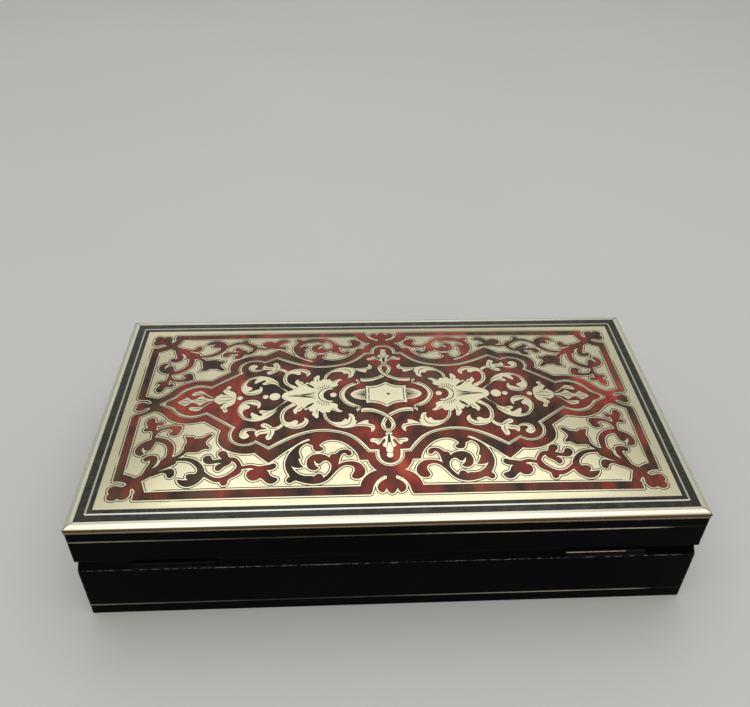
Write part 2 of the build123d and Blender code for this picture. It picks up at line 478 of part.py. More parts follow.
def screw(x, y, z, up):
    """Slotted countersunk screw with its head flush at z, pointing down or up."""
    head = screw_head_radius - screw_shank_radius
    tip = screw_shank_radius * 2
    profile = make_face(
        Polyline(
            (0, 0),
            (screw_head_radius, 0),
            (screw_shank_radius, -head),
            (screw_shank_radius, tip - screw_length),
            (0, -screw_length),
            close=True,
        )
    )
    body = revolve(Plane.XZ * profile, Axis.Z)
    slot = Pos(0, 0, -screw_slot / 2) * Box(2 * screw_head_radius, screw_slot, screw_slot)
    if up:
        body = Rot(180, 0, 0) * body
        slot = Rot(180, 0, 0) * slot
    return Pos(x, y, z) * (body - slot), Pos(x, y, z) * body


def screws(spots, y, up):
    made = [screw(x, y, joint_z, up) for x in spots]
    return [pair[0] for pair in made], [pair[1] for pair in made]


parts = {}

# Groove along the back joint, through the side walls too.
groove = extrude(
    Plane.YZ
    * make_face(
        Polyline(
            (box_depth / 2 - groove_deep, joint_z),
            (box_depth / 2 + groove_deep, joint_z - 2 * groove_deep),
            (box_depth / 2 + groove_deep, joint_z + 2 * groove_deep),
            close=True,
        )
    ),
    box_width,
    both=True,
)

# Hinge leaves, knuckles, pins and screws.
hinge_centres = {"left": -hinge_spacing / 2, "right": hinge_spacing / 2}
end_knuckle = hinge_length / 4
notch_y = hinge_y - knuckle_radius - knuckle_clearance
screw_y = (leaf_inner_y + notch_y) / 2
screw_spots = [centre + step for centre in hinge_centres.values() for step in (-screw_pitch, 0, screw_pitch)]
base_screws, base_screw_holes = screws(screw_spots, screw_y, False)
lid_screws, lid_screw_holes = screws(screw_spots, screw_y, True)
pins = []
base_leaf_recesses = []
lid_leaf_recesses = []
for side, centre in hinge_centres.items():
    x0 = centre - hinge_length / 2
    x1 = centre + hinge_length / 2
    inner0 = x0 + end_knuckle
    inner1 = x1 - end_knuckle
    base_plate = box_between(x0, leaf_inner_y, joint_z - leaf_thick, x1, notch_y, joint_z)
    lid_plate = box_between(x0, leaf_inner_y, joint_z, x1, notch_y, joint_z + leaf_thick)
    base_leaf = base_plate
    for a, b in ((x0, inner0 - knuckle_gap / 2), (inner1 + knuckle_gap / 2, x1)):
        base_leaf += box_between(a, notch_y, joint_z - leaf_thick, b, hinge_y, joint_z)
        base_leaf += cylinder_x(knuckle_radius, a, b, hinge_y, joint_z)
    base_leaf -= cylinder_x(pin_radius, x0, x1, hinge_y, joint_z)
    lid_a = inner0 + knuckle_gap / 2
    lid_b = inner1 - knuckle_gap / 2
    lid_leaf = lid_plate + box_between(lid_a, notch_y, joint_z, lid_b, hinge_y, joint_z + leaf_thick)
    lid_leaf += cylinder_x(knuckle_radius, lid_a, lid_b, hinge_y, joint_z)
    lid_leaf -= cylinder_x(pin_radius + pin_clearance, x0, x1, hinge_y, joint_z)
    parts["hinge_" + side + "_base_leaf"] = [base_leaf - base_screw_holes]
    parts["hinge_" + side + "_lid_leaf"] = [lid_leaf - lid_screw_holes]
    pins.append(cylinder_x(pin_radius, x0, x1, hinge_y, joint_z))
    base_leaf_recesses.append(
        box_between(x0, leaf_inner_y, joint_z - leaf_thick, x1, box_depth / 2, joint_z)
    )
    lid_leaf_recesses.append(
        box_between(x0, leaf_inner_y, joint_z, x1, box_depth / 2, joint_z + leaf_thick)
    )
parts["hinge_pins"] = pins
parts["hinge_base_screws"] = base_screws
parts["hinge_lid_screws"] = lid_screws

# Link lock: case and rim plate, sliding bolt, staples on the lid plate.
lock_inner_y = -inner_y
lock_outer_y = -inner_y - lock_thick
lock_mid_y = (lock_inner_y + lock_outer_y) / 2
case_top = joint_z - lock_plate_thick
case_bottom = case_top - lock_height
staple_low = joint_z - staple_length
bar_top = staple_low - 2 * bolt_clearance
bar_low = bar_top - bolt_bar_high
tine_low = staple_low + staple_eye_low + bolt_clearance
tine_top = tine_low + bolt_bar_high
staple_xs = [-staple_spacing / 2 + bolt_travel / 2, staple_spacing / 2 + bolt_travel / 2]
tine_ends = [x - staple_thick / 2 - 2 * bolt_clearance for x in staple_xs]
post_starts = [end - bolt_tine_long for end in tine_ends]
bolt_y0 = lock_mid_y - bolt_thick / 2
bolt_y1 = lock_mid_y + bolt_thick / 2
bolt = box_between(post_starts[0], bolt_y0, bar_low, post_starts[1] + bolt_post_wide, bolt_y1, bar_top)
for start, end in zip(post_starts, tine_ends):
    bolt += box_between(start, bolt_y0, bar_low, start + bolt_post_wide, bolt_y1, tine_top)
    bolt += box_between(start, bolt_y0, tine_low, end, bolt_y1, tine_top)
parts["lock_bolt"] = [bolt]

case_x = lock_length / 2
channel = box_between(
    post_starts[0] - bolt_clearance,
    bolt_y0 - bolt_clearance,
    bar_low - bolt_clearance,
    tine_ends[1] + bolt_travel + bolt_clearance,
    bolt_y1 + bolt_clearance,
    tine_top + bolt_clearance,
)
wells = [
    box_between(
        x - staple_thick / 2 - staple_clearance,
        lock_mid_y - staple_width / 2 - staple_clearance,
        staple_low - staple_clearance,
        x + staple_thick / 2 + staple_clearance,
        lock_mid_y + staple_width / 2 + staple_clearance,
        joint_z,
    )
    for x in staple_xs
]
key_z = (case_bottom + bar_low) / 2 + keyhole_radius
key_tail_z = case_bottom + lock_wall + keyhole_slot / 2
key_room = box_between(
    -keyhole_room / 2,
    bolt_y0 - bolt_clearance,
    case_bottom + lock_wall,
    keyhole_room / 2,
    bolt_y1 + bolt_clearance,
    bar_low,
)
keyhole = extrude(
    Plane.XZ
    * (
        Pos(0, key_z) * Circle(keyhole_radius)
        + Pos(0, (key_z + key_tail_z) / 2) * Rectangle(keyhole_slot, key_z - key_tail_z)
        + Pos(0, key_tail_z) * Circle(keyhole_slot / 2)
    ),
    box_depth,
)
front_y = -box_depth / 2
keyhole &= box_between(-wall, front_y - 1, case_bottom, wall, bolt_y0, case_top)
plate_y0 = lock_outer_y - lock_plate_lip
case_block = box_between(-case_x, lock_outer_y, case_bottom, case_x, lock_inner_y, case_top)
lock_plate = box_between(
    -lock_plate_length / 2, plate_y0, case_top, lock_plate_length / 2, lock_inner_y, joint_z
)
lock_screw_x = (case_x + lock_plate_length / 2) / 2
plate_mid_y = (plate_y0 + lock_inner_y) / 2
lock_screws, lock_screw_holes = screws([-lock_screw_x, lock_screw_x], plate_mid_y, False)
parts["lock_case"] = [case_block + lock_plate - channel - wells - key_room - keyhole - lock_screw_holes]
parts["lock_screws"] = lock_screws

link_y0 = lock_mid_y - link_plate_width / 2
link_y1 = lock_mid_y + link_plate_width / 2
link_x = link_plate_length / 2
link_plate = box_between(-link_x, link_y0, joint_z, link_x, link_y1, joint_z + lock_plate_thick)
for x in staple_xs:
    staple = box_between(
        x - staple_thick / 2,
        lock_mid_y - staple_width / 2,
        staple_low,
        x + staple_thick / 2,
        lock_mid_y + staple_width / 2,
        joint_z,
    )
    eye = box_between(
        x - staple_thick,
        bolt_y0 - bolt_clearance,
        staple_low + staple_eye_low,
        x + staple_thick,
        bolt_y1 + bolt_clearance,
        tine_top + bolt_clearance,
    )
    link_plate += staple - eye
link_screw_x = link_x - link_screw_inset
link_screws, link_screw_holes = screws([-link_screw_x, link_screw_x], lock_mid_y, True)
parts["lid_link_plate"] = [link_plate - link_screw_holes]
parts["link_plate_screws"] = link_screws

escutcheon = Plane.XZ * (
    Pos(0, (key_z + key_tail_z) / 2) * Ellipse(escutcheon_half_width, escutcheon_half_height)
)
escutcheon_plate = extrude(Pos(0, front_y, 0) * escutcheon, -escutcheon_thick)
parts["keyhole_escutcheon"] = [escutcheon_plate - keyhole]

# Carcass of the base and the lid.
sides = ("back", "front", "right", "left")
wall_ring = ring_between(box_width / 2, box_depth / 2, inner_x, inner_y)
string_ring = ring_between(
    box_width / 2, box_depth / 2, box_width / 2 - wall_string_deep, box_depth / 2 - wall_string_deep
)
lid_string_z = rim_z - lid_string_drop
base_string = (base_string_height - wall_string / 2, base_string_height + wall_string / 2)
lid_string = (lid_string_z - wall_string / 2, lid_string_z + wall_string / 2)
board_ring = Rectangle(2 * band_x, 2 * band_y)
rebate = extrude(Pos(0, 0, board_z) * board_ring, rim_z, dir=(0, 0, 1))
base_cuts = {
    "back": base_leaf_recesses + base_screw_holes + [groove],
    "front": [case_block, lock_plate, keyhole, escutcheon_plate] + lock_screw_holes,
    "right": [groove],
    "left": [groove],
}
lid_cuts = {
    "back": lid_leaf_recesses + lid_screw_holes + [groove],
    "front": [box_between(-link_x, link_y0, joint_z, link_x, link_y1, joint_z + lock_plate_thick)]
    + link_screw_holes,
    "right": [groove],
    "left": [groove],
}
base_string_parts = []
lid_string_parts = []
for side, flat, string_flat in zip(sides, mitred(wall_ring), mitred(string_ring)):
    base_strip = upright(string_flat, *base_string)
    lid_strip = upright(string_flat, *lid_string)
    base_wall = upright(flat, 0, joint_z)[0] - base_strip
    lid_wall = upright(flat, joint_z, moulding_z)[0] - lid_strip - rebate
    parts["base_" + side + "_wall"] = [base_wall - base_cuts[side]]
    parts["lid_" + side + "_wall"] = [lid_wall - lid_cuts[side]]
    base_string_parts += base_strip
    lid_string_parts += lid_strip
parts["base_string_inlay"] = base_string_parts
parts["lid_string_inlay"] = lid_string_parts
parts["base_bottom_board"] = [box_between(-inner_x, -inner_y, 0, inner_x, inner_y, bottom_board)]

# Linings of the base, and of the inside of the lid.
floor_top = bottom_board + floor_lining
parts["base_floor_lining"] = [
    box_between(-inner_x, -inner_y, bottom_board, inner_x, inner_y, floor_top)
]
lining_ring = ring_between(inner_x, inner_y, inner_x - wall_lining, inner_y - wall_lining)
parts["base_wall_lining"] = [
    solid for flat in mitred(lining_ring) for solid in upright(flat, floor_top, joint_z - lining_drop)
]
parts["lid_lining"] = [box_between(-inner_x, -inner_y, board_z - lid_lining, inner_x, inner_y, board_z)]

# Lid board with its crowned top, which the veneers lie on.
board_top = rim_z - veneer
crown_block = Solid.extrude(crown_face(veneer), Vector(0, 0, -crown_rise - veneer))
crown_block &= box_between(
    -field_x, -field_y, board_z + cut_margin, field_x, field_y, rim_z + crown_rise
)
board = upright(board_ring, board_z, board_top)[0]
parts["lid_top_board"] = [board + crown_block]

# Brass moulding round the top edge, mitred at the corners.
round_low = rim_z - moulding_fall
fillet_low = round_low - moulding_fillet
cove_low = fillet_low - cove_high
outer_line = moulding_width
cove_line = moulding_width - cove_deep
wall_line = moulding_width - moulding_overhang
shoulder = (outer_line - moulding_shoulder_in, rim_z - moulding_shoulder_fall)
cove_middle = (cove_line + cove_bulge, fillet_low - cove_high / 2 + cove_bulge)
bead_middle = (outer_line - cove_bulge, (cove_low + moulding_z) / 2)
profile = make_face(
    [
        Line((0, moulding_z), (0, rim_z)),
        Line((0, rim_z), (moulding_flat, rim_z)),
        ThreePointArc((moulding_flat, rim_z), shoulder, (outer_line, round_low)),
        Line((outer_line, round_low), (outer_line, fillet_low)),
        ThreePointArc((outer_line, fillet_low), cove_middle, (cove_line, cove_low)),
        ThreePointArc((cove_line, cove_low), bead_middle, (wall_line, moulding_z)),
        Line((wall_line, moulding_z), (0, moulding_z)),
    ]
)
back_run = extrude(Plane.YZ * Pos(band_y, 0) * profile, box_width, both=True)
right_run = extrude(Plane.XZ * Pos(band_x, 0) * profile, box_depth, both=True)
prisms = [upright(flat, moulding_z - cut_margin, rim_z + cut_margin)[0] for flat in sectors()]
back_prism, _, right_prism, _ = prisms
back_moulding = back_run & back_prism
right_moulding = right_run & right_prism
parts["moulding_back"] = [back_moulding]
parts["moulding_front"] = [back_moulding.mirror(Plane.XZ)]
parts["moulding_right"] = [right_moulding]
parts["moulding_left"] = [right_moulding.mirror(Plane.YZ)]

# Ebony bands and the brass line between them.
top_line_outer = RectangleRounded(2 * string_x, 2 * string_y, top_string_corner)
top_line_inner = Rectangle(2 * (string_x - top_string), 2 * (string_y - top_string))
field = Rectangle(2 * field_x, 2 * field_y)
bands = {
    "ebony_border_outer": board_ring - top_line_outer,
    "top_brass_line": top_line_outer - top_line_inner,
    "ebony_border_inner": top_line_inner - field,
}
for name, ring in bands.items():
    parts[name] = [solid for flat in mitred(ring) for solid in upright(flat, board_top, rim_z)]

# Shell ground and brass field of one quarter, as the sheets are sawn.
quarter = rectangle(0, 0, field_x, field_y)
red_lines = [
    corner_foil,
    curl_low,
    trunk,
    thorn,
    sprig,
    hook,
    scroll_low,
    trefoil_ring,
    trefoil_end,
    star,
    side_foil,
    middle_foil,
    spandrel_edge,
    spiral_ground,
]
red = union([outline(line) for line in red_lines])
red = union([red, drawn_rectangle(*band_long_side), drawn_rectangle(*band_short_side)]) & quarter
frame_flat, spandrel_flat = [], []
for face in (quarter - red).faces():
    at_edge = face.bounding_box().max.X > field_x - 1
    (frame_flat if at_edge else spandrel_flat).append(face)


def drawn(points):
    return (Sketch() + outline(points)) & quarter


# Brass shapes of the cartouche, each cut back where it meets the one before it.
palm = union(mirrored_y(drawn(palmette)))
leaf = drawn(leaf_scroll) - palm
stem = drawn(stem_scroll) - palm - leaf
spray = drawn(thorn_scroll) - palm
blossom = drawn(flower) - leaf
curl = drawn(volute) - blossom
bell_flat = union(mirrored_y(drawn(bell)))
drop_flat = union(mirrored_y(drawn(pendant))) - bell_flat
drop_leaf = drawn(pendant_leaf) - drop_flat - bell_flat
knot_flat = union(mirrored_x(outline(knot)))
fleur_flat = union(mirrored_x(drawn(fleur))) - knot_flat
shield_flat = union(four_ways(union([drawn(shield), drawn(rosette)])))
oval_flat = union(mirrored_y(drawn(oval_strap)))
strap_flat = union(four_ways(drawn(strapwork)))
bead_flat = union([Pos(x * scale_x, 0) * Circle(radius * scale_y) for x, radius in beads])

end_shapes = [palm, bell_flat, drop_flat, bead_flat, oval_flat]
side_shapes = [knot_flat, fleur_flat]
quarter_shapes = [leaf, stem, spray, blossom, curl, drop_leaf]
ground_flat = red
for shape in end_shapes + side_shapes + quarter_shapes + [shield_flat, strap_flat]:
    ground_flat = ground_flat - shape


def repeated(shape, ways):
    return [copy for piece in inlay(shape) for copy in ways(piece)]


parts["marquetry_frame"] = repeated(union(frame_flat), four_ways)
parts["marquetry_spandrels"] = repeated(union(spandrel_flat), four_ways)
parts["tortoiseshell_ground"] = repeated(ground_flat, four_ways)
parts["strapwork"] = inlay(strap_flat)
parts["shield"] = inlay(shield_flat)
parts["oval_straps"] = repeated(oval_flat, mirrored_x)
parts["knots"] = repeated(knot_flat, mirrored_y)
parts["fleurs"] = repeated(fleur_flat, mirrored_y)
parts["palmettes"] = repeated(palm, mirrored_x)
parts["leaf_scrolls"] = repeated(leaf, four_ways)
parts["stem_scrolls"] = repeated(stem, four_ways)
parts["thorn_scrolls"] = repeated(spray, four_ways)
parts["flowers"] = repeated(blossom, four_ways)
parts["volutes"] = repeated(curl, four_ways)
parts["bells"] = repeated(bell_flat, mirrored_x)
parts["pendants"] = repeated(drop_flat, mirrored_x)
parts["pendant_leaves"] = repeated(drop_leaf, four_ways)
parts["beads"] = repeated(bead_flat, mirrored_x)

os.makedirs("parts", exist_ok=True)
for name, shapes in parts.items():
    solids = [solid for shape in shapes for solid in shape.solids()]
    node = Compound(label=name, children=solids)
    export_step(node, "parts/" + name + ".step", write_pcurves=False)
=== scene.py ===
import math

import bmesh
import bpy
from mathutils import Matrix, Vector, kdtree, noise


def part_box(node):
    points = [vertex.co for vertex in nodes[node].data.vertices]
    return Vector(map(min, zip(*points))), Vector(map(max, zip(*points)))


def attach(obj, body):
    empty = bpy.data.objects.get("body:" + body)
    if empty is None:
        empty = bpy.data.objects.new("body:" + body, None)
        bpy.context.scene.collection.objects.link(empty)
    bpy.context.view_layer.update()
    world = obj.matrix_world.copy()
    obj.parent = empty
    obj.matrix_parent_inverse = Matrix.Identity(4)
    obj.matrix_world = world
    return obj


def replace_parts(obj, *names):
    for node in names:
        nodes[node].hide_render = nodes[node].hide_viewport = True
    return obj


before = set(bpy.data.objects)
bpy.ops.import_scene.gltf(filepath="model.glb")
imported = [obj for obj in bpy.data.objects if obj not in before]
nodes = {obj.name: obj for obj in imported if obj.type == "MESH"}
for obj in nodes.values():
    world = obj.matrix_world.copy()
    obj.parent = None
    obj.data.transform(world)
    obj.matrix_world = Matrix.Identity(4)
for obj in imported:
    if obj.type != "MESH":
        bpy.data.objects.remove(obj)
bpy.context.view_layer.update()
MM = 0.001

# Crown of the lid over the marquetry field, as the board is shaped.
CROWN_RISE = 7.6 * MM
CROWN_SQUARE_LONG = 0.64
CROWN_SQUARE_SHORT = -0.30
RIM_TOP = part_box("ebony_border_outer")[1].z
FIELD_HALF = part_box("marquetry_frame")[1]
HALF_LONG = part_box("base_right_wall")[1].x
HALF_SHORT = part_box("base_back_wall")[1].y
JOINT_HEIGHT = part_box("base_back_wall")[1].z
# The groove's sides slope at 45 degrees, so each lip is as far from the joint as the groove is deep.
GROOVE_DEEP = 3.5 * MM
GROOVE_LIP = JOINT_HEIGHT - GROOVE_DEEP
UPPER_LIP = JOINT_HEIGHT + GROOVE_DEEP
KNUCKLE_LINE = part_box("hinge_left_base_leaf")[1].y
END_KNUCKLE = 9.5 * MM
MITRE_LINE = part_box("moulding_right")[1].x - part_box("moulding_back")[1].y
TOP_LINE_WIDE = 0.9 * MM
RUBBED_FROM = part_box("top_brass_line")[1].y - TOP_LINE_WIDE

# Distances between which one look of a finish fades into the next.
# From an outer face, and from the back for the wear and painted light of its brass line.
FACE_FADE = (0.7 * MM, 0.4 * MM)
BACK_LINE_FADE = (4 * MM, 2 * MM)
# From a lip of the groove, and from a brass line in a wall.
LIP_FADE = (0.9 * MM, 0.6 * MM)
UPPER_LIP_FADE = (1.1 * MM, 0.8 * MM)
INLAY_FADE = (0.9 * MM, 1.4 * MM)
# Below the rim, to brown on the moulding's round (tarnish and painted shade) and from brown to tan at its
# bead, and from a mitre.
BROWN_FADE = (0.8 * MM, 1.1 * MM)
BEAD_FADE = (2.6 * MM, 2.9 * MM)
MITRE_FADE = (0.38 * MM, 0.15 * MM)
# To either side of the place from which the top's brass line is rubbed bright; elsewhere it is duller,
# partly with painted shade.
RUBBED_GIVE = 0.15 * MM
# Painted glint line along the hinges' knuckles: height above the joint, half width, crest that it keeps to
# and dim end.
GLINT_HEIGHT = 1.5 * MM
GLINT_HALF = (0.17 * MM, 0.05 * MM)
KNUCKLE_CREST = (1.6 * MM, 1.2 * MM)
GLINT_DIM_FADE = (0.3 * MM, 0.1 * MM)


def crown(x, y):
    """Height of the marquetry surface above a spot of the field."""
    u = x / FIELD_HALF.x
    v = y / FIELD_HALF.y
    along = 1 - (1 - CROWN_SQUARE_LONG) * u**2 - CROWN_SQUARE_LONG * u**4
    across = 1 - (1 - CROWN_SQUARE_SHORT) * v**2 - CROWN_SQUARE_SHORT * v**4
    return RIM_TOP + CROWN_RISE * along * across


# Materials: a few words for wiring nodes.
class Finish:
    """A material with its Principled shader, and short ways to add and join nodes."""

    def __init__(self, name, tree=None):
        self.material = None
        if tree is None:
            self.material = bpy.data.materials.new(name)
            self.material.use_nodes = True
            tree = self.material.node_tree
            self.shader = tree.nodes["Principled BSDF"]
        self.tree = tree

    def add(self, kind, **settings):
        """New node of a kind."""
        node = self.tree.nodes.new(kind)
        for key, value in settings.items():
            setattr(node, key, value)
        return node

    def join(self, source, target):
        self.tree.links.new(source, target)

    def put(self, target, value):
        """Give an input a plain value, or join it to another node's output."""
        if isinstance(value, bpy.types.NodeSocket):
            self.join(value, target)
        else:
            target.default_value = value

    def math(self, operation, first, second=0.0, clamp=False):
        node = self.add("ShaderNodeMath", operation=operation, use_clamp=clamp)
        self.put(node.inputs[0], first)
        self.put(node.inputs[1], second)
        return node.outputs[0]

    def spread(self, value, low, high, to_low=0.0, to_high=1.0):
        """Value moved from one range to another and held inside it."""
        node = self.add("ShaderNodeMapRange", clamp=True)
        self.put(node.inputs["Value"], value)
        self.put(node.inputs["From Min"], low)
        self.put(node.inputs["From Max"], high)
        self.put(node.inputs["To Min"], to_low)
        self.put(node.inputs["To Max"], to_high)
        return node.outputs["Result"]

    def mix(self, share, first, second, blend="MIX"):
        """Second colour laid over the first by a share; inputs 6 and 7 are the node's two colours."""
        node = self.add("ShaderNodeMix", data_type="RGBA", blend_type=blend)
        self.put(node.inputs[0], share)
        self.put(node.inputs[6], first)
        self.put(node.inputs[7], second)
        return node.outputs[2]

    def place(self, scale=(1, 1, 1)):
        """Coordinates of the piece itself, in metres, stretched by a scale."""
        mapping = self.add("ShaderNodeMapping")
        self.join(self.add("ShaderNodeTexCoord").outputs["Object"], mapping.inputs["Vector"])
        mapping.inputs["Scale"].default_value = scale
        return mapping.outputs["Vector"]

    def axes(self):
        """Place of a spot on the piece, as three numbers in metres."""
        split = self.add("ShaderNodeSeparateXYZ")
        self.join(self.place(), split.inputs[0])
        return split.outputs

    def painted(self):
        """The colour that is joined to the shader so far."""
        return self.shader.inputs["Base Color"].links[0].from_socket

    def near_face(self, place, half):
        """1 at the outer faces on both sides of the middle, 0 inside them."""
        return self.spread(self.math("ABSOLUTE", place), half - FACE_FADE[0], half - FACE_FADE[1])

    def off(self, place, line):
        """Distance from a line, on either side of it."""
        return self.math("ABSOLUTE", self.math("SUBTRACT", place, line))

    def cloud(self, vector, scale, detail=4.0, roughness=0.55, distortion=0.0):
        """Soft random clouds, from 0 to 1."""
        node = self.add("ShaderNodeTexNoise")
        self.put(node.inputs["Vector"], vector)
        self.put(node.inputs["Scale"], scale)
        node.inputs["Detail"].default_value = detail
        node.inputs["Roughness"].default_value = roughness
        node.inputs["Distortion"].default_value = distortion
        return node.outputs["Fac"]

    def ramp(self, value, stops):
        """Colour that runs through stops as the value rises."""
        node = self.add("ShaderNodeValToRGB")
        self.put(node.inputs["Fac"], value)
        band = node.color_ramp
        while len(band.elements) < len(stops):
            band.elements.new(0.5)
        for element, (position, colour) in zip(band.elements, stops):
            element.position = position
            element.color = (*colour, 1)
        return node.outputs["Color"]

    def relief(self, height, strength, distance, normal=None):
        """Normal that makes a height look raised."""
        node = self.add("ShaderNodeBump")
        node.inputs["Strength"].default_value = strength
        node.inputs["Distance"].default_value = distance
        self.put(node.inputs["Height"], height)
        if normal is not None:
            self.join(normal, node.inputs["Normal"])
        return node.outputs["Normal"]

    def use(self, group, **values):
        """Shared effect, with its inputs given by name."""
        node = self.add("ShaderNodeGroup", node_tree=group)
        for key, value in values.items():
            self.put(node.inputs[key.replace("_", " ").capitalize()], value)
        return node

    def set(self, **values):
        """Inputs of the shader, given by name."""
        for key, value in values.items():
            self.put(self.shader.inputs[key.replace("_", " ").title().replace("Ior", "IOR")], value)


def effect(name, inputs, outputs):
    """Kit for a new shared effect, with the sockets that it is given and those that it fills."""
    group = bpy.data.node_groups.new(name, "ShaderNodeTree")
    for label, kind, value in inputs:
        socket = group.interface.new_socket(label, in_out="INPUT", socket_type=kind)
        socket.default_value = value
    for label, kind in outputs:
        group.interface.new_socket(label, in_out="OUTPUT", socket_type=kind)
    kit = Finish(name, group)
    return kit, kit.add("NodeGroupInput").outputs, kit.add("NodeGroupOutput").inputs


NUMBER = "NodeSocketFloat"
VECTOR = "NodeSocketVector"


def arris_wear_and_glint_effect():
    """Mask of the arrises in patches, for finish rubbed off there and for painted highlight, and a normal
    that rounds them.
    """
    kit, given, out = effect(
        "arris_wear_and_glint",
        [
            ("Width", NUMBER, 0.0005),
            ("Patch size", NUMBER, 90.0),
            ("Amount", NUMBER, 0.5),
            ("Where", NUMBER, 1.0),
        ],
        [("Mask", NUMBER), ("Normal", VECTOR)],
    )
    rounded = kit.add("ShaderNodeBevel", samples=6)
    kit.join(given["Width"], rounded.inputs["Radius"])
    plain = kit.add("ShaderNodeNewGeometry")
    facing = kit.add("ShaderNodeVectorMath", operation="DOT_PRODUCT")
    kit.join(rounded.outputs["Normal"], facing.inputs[0])
    kit.join(plain.outputs["Normal"], facing.inputs[1])
    edge = kit.spread(facing.outputs["Value"], 0.995, 0.90)
    patch = kit.cloud(kit.place(), given["Patch size"], 6.0, 0.65)
    limit = kit.math("SUBTRACT", 1.0, given["Amount"])
    worn = kit.spread(kit.math("SUBTRACT", patch, kit.math("MULTIPLY", limit, 0.8)), 0.08, 0.2)
    kit.join(kit.math("MULTIPLY", kit.math("MULTIPLY", edge, worn), given["Where"]), out["Mask"])
    kit.join(rounded.outputs["Normal"], out["Normal"])
    return kit.tree


def tarnish_effect():
    """Slow clouds and small spots of tarnish on brass."""
    kit, given, out = effect(
        "tarnish",
        [("Amount", NUMBER, 0.5), ("Cloud size", NUMBER, 25.0)],
        [("Cloud", NUMBER), ("Spots", NUMBER)],
    )
    cloud = kit.cloud(kit.place(), given["Cloud size"], 5.0, 0.6, 0.4)
    kit.join(kit.math("MULTIPLY", kit.spread(cloud, 0.42, 0.72), given["Amount"]), out["Cloud"])
    speck = kit.cloud(kit.place(), 900.0, 2.0, 0.5)
    kit.join(kit.math("MULTIPLY", kit.spread(speck, 0.68, 0.76), given["Amount"]), out["Spots"])
    return kit.tree


def rubbing_effect():
    """Fine hair scratches from years of rubbing, in two directions."""
    kit, given, out = effect(
        "rubbing_marks",
        [("Density", NUMBER, 1.0)],
        [("Height", NUMBER), ("Mask", NUMBER)],
    )
    first = kit.cloud(kit.place((12, 900, 900)), given["Density"], 3.0, 0.7, 0.6)
    second = kit.cloud(kit.place((900, 25, 900)), given["Density"], 3.0, 0.7, 0.8)
    both = kit.math("MAXIMUM", kit.spread(first, 0.6, 0.72), kit.spread(second, 0.63, 0.72))
    kit.join(both, out["Mask"])
    kit.join(kit.math("SUBTRACT", 1.0, both), out["Height"])
    return kit.tree


def dust_effect():
    """Thin dust that lies on faces that look up."""
    kit, given, out = effect("dust", [("Amount", NUMBER, 0.2)], [("Mask", NUMBER)])
    split = kit.add("ShaderNodeSeparateXYZ")
    kit.join(kit.add("ShaderNodeNewGeometry").outputs["Normal"], split.inputs[0])
    upward = kit.spread(split.outputs["Z"], 0.6, 1.0)
    grit = kit.spread(kit.cloud(kit.place(), 260.0, 6.0, 0.75), 0.45, 0.8)
    kit.join(kit.math("MULTIPLY", kit.math("MULTIPLY", upward, grit), given["Amount"]), out["Mask"])
    return kit.tree


ARRIS_WEAR_AND_GLINT = arris_wear_and_glint_effect()
TARNISH = tarnish_effect()
RUBBING = rubbing_effect()
DUST = dust_effect()


def brass(name, bright, dull, roughness, tarnish=0.5, cloud_size=25.0):
    """Kit of rolled brass, lightly tarnished and rubbed, for others to lay more over it."""
    kit = Finish(name)
    stain = kit.use(TARNISH, amount=tarnish, cloud_size=cloud_size)
    marks = kit.use(RUBBING, density=1.0)
    colour = kit.mix(stain.outputs["Cloud"], bright, dull)
    colour = kit.mix(kit.math("MULTIPLY", stain.outputs["Spots"], 0.25), colour, (0.12, 0.07, 0.03, 1))
    rough = kit.spread(stain.outputs["Cloud"], 0.0, 1.0, roughness, roughness + 0.14)
    rough = kit.math("ADD", rough, kit.math("MULTIPLY", marks.outputs["Mask"], 0.05))
    kit.set(base_color=colour, roughness=rough, metallic=1.0)
    kit.set(normal=kit.relief(marks.outputs["Height"], 0.015, 0.00003))
    return kit


def marquetry_brass():
    """Pale bright brass of the lid's field."""
    return brass("marquetry_brass", (0.86, 0.80, 0.56, 1), (0.74, 0.68, 0.45, 1), 0.27).material


def moulding_brass(name, bright, dull):
    """Moulding brass, dark brown from half way down its round to its bead, partly tarnish and partly painted
    shade, with a dark line at each mitre.
    """
    kit = brass(name, bright, dull, 0.26, 0.35)
    base = kit.painted()
    spot = kit.axes()
    depth = kit.math("SUBTRACT", RIM_TOP, spot["Z"])
    # Tarnish and painted shade: dark brown below the rim, on the lower half of the round.
    base = kit.mix(kit.spread(depth, *BROWN_FADE, 0.0, 0.94), base, (0.085, 0.048, 0.016, 1))
    base = kit.mix(kit.spread(depth, *BEAD_FADE, 0.0, 0.9), base, (0.27, 0.20, 0.115, 1))
    beyond = kit.math("SUBTRACT", kit.math("ABSOLUTE", spot["X"]), kit.math("ABSOLUTE", spot["Y"]))
    seam = kit.spread(kit.off(beyond, MITRE_LINE), *MITRE_FADE, 0.0, 0.85)
    kit.set(base_color=kit.mix(seam, base, (0.03, 0.02, 0.01, 1)))
    return kit.material


def edge_line_brass():
    """Brass line between the ebony bands, rubbed bright along the hinge side and duller elsewhere, the
    dullness partly painted shade.
    """
    kit = brass("edge_line_brass", (0.95, 0.94, 0.86, 1), (0.75, 0.72, 0.60, 1), 0.28)
    base = kit.painted()
    spot = kit.axes()
    # Duller away from the hinge side: partly unrubbed brass, partly painted shade.
    unrubbed_and_shaded = kit.spread(spot["Y"], RUBBED_FROM - RUBBED_GIVE, RUBBED_FROM + RUBBED_GIVE, 1.0, 0.0)
    kit.set(base_color=kit.mix(unrubbed_and_shaded, base, kit.mix(1.0, base, (0.60, 0.61, 0.52, 1), "MULTIPLY")))
    return kit.material


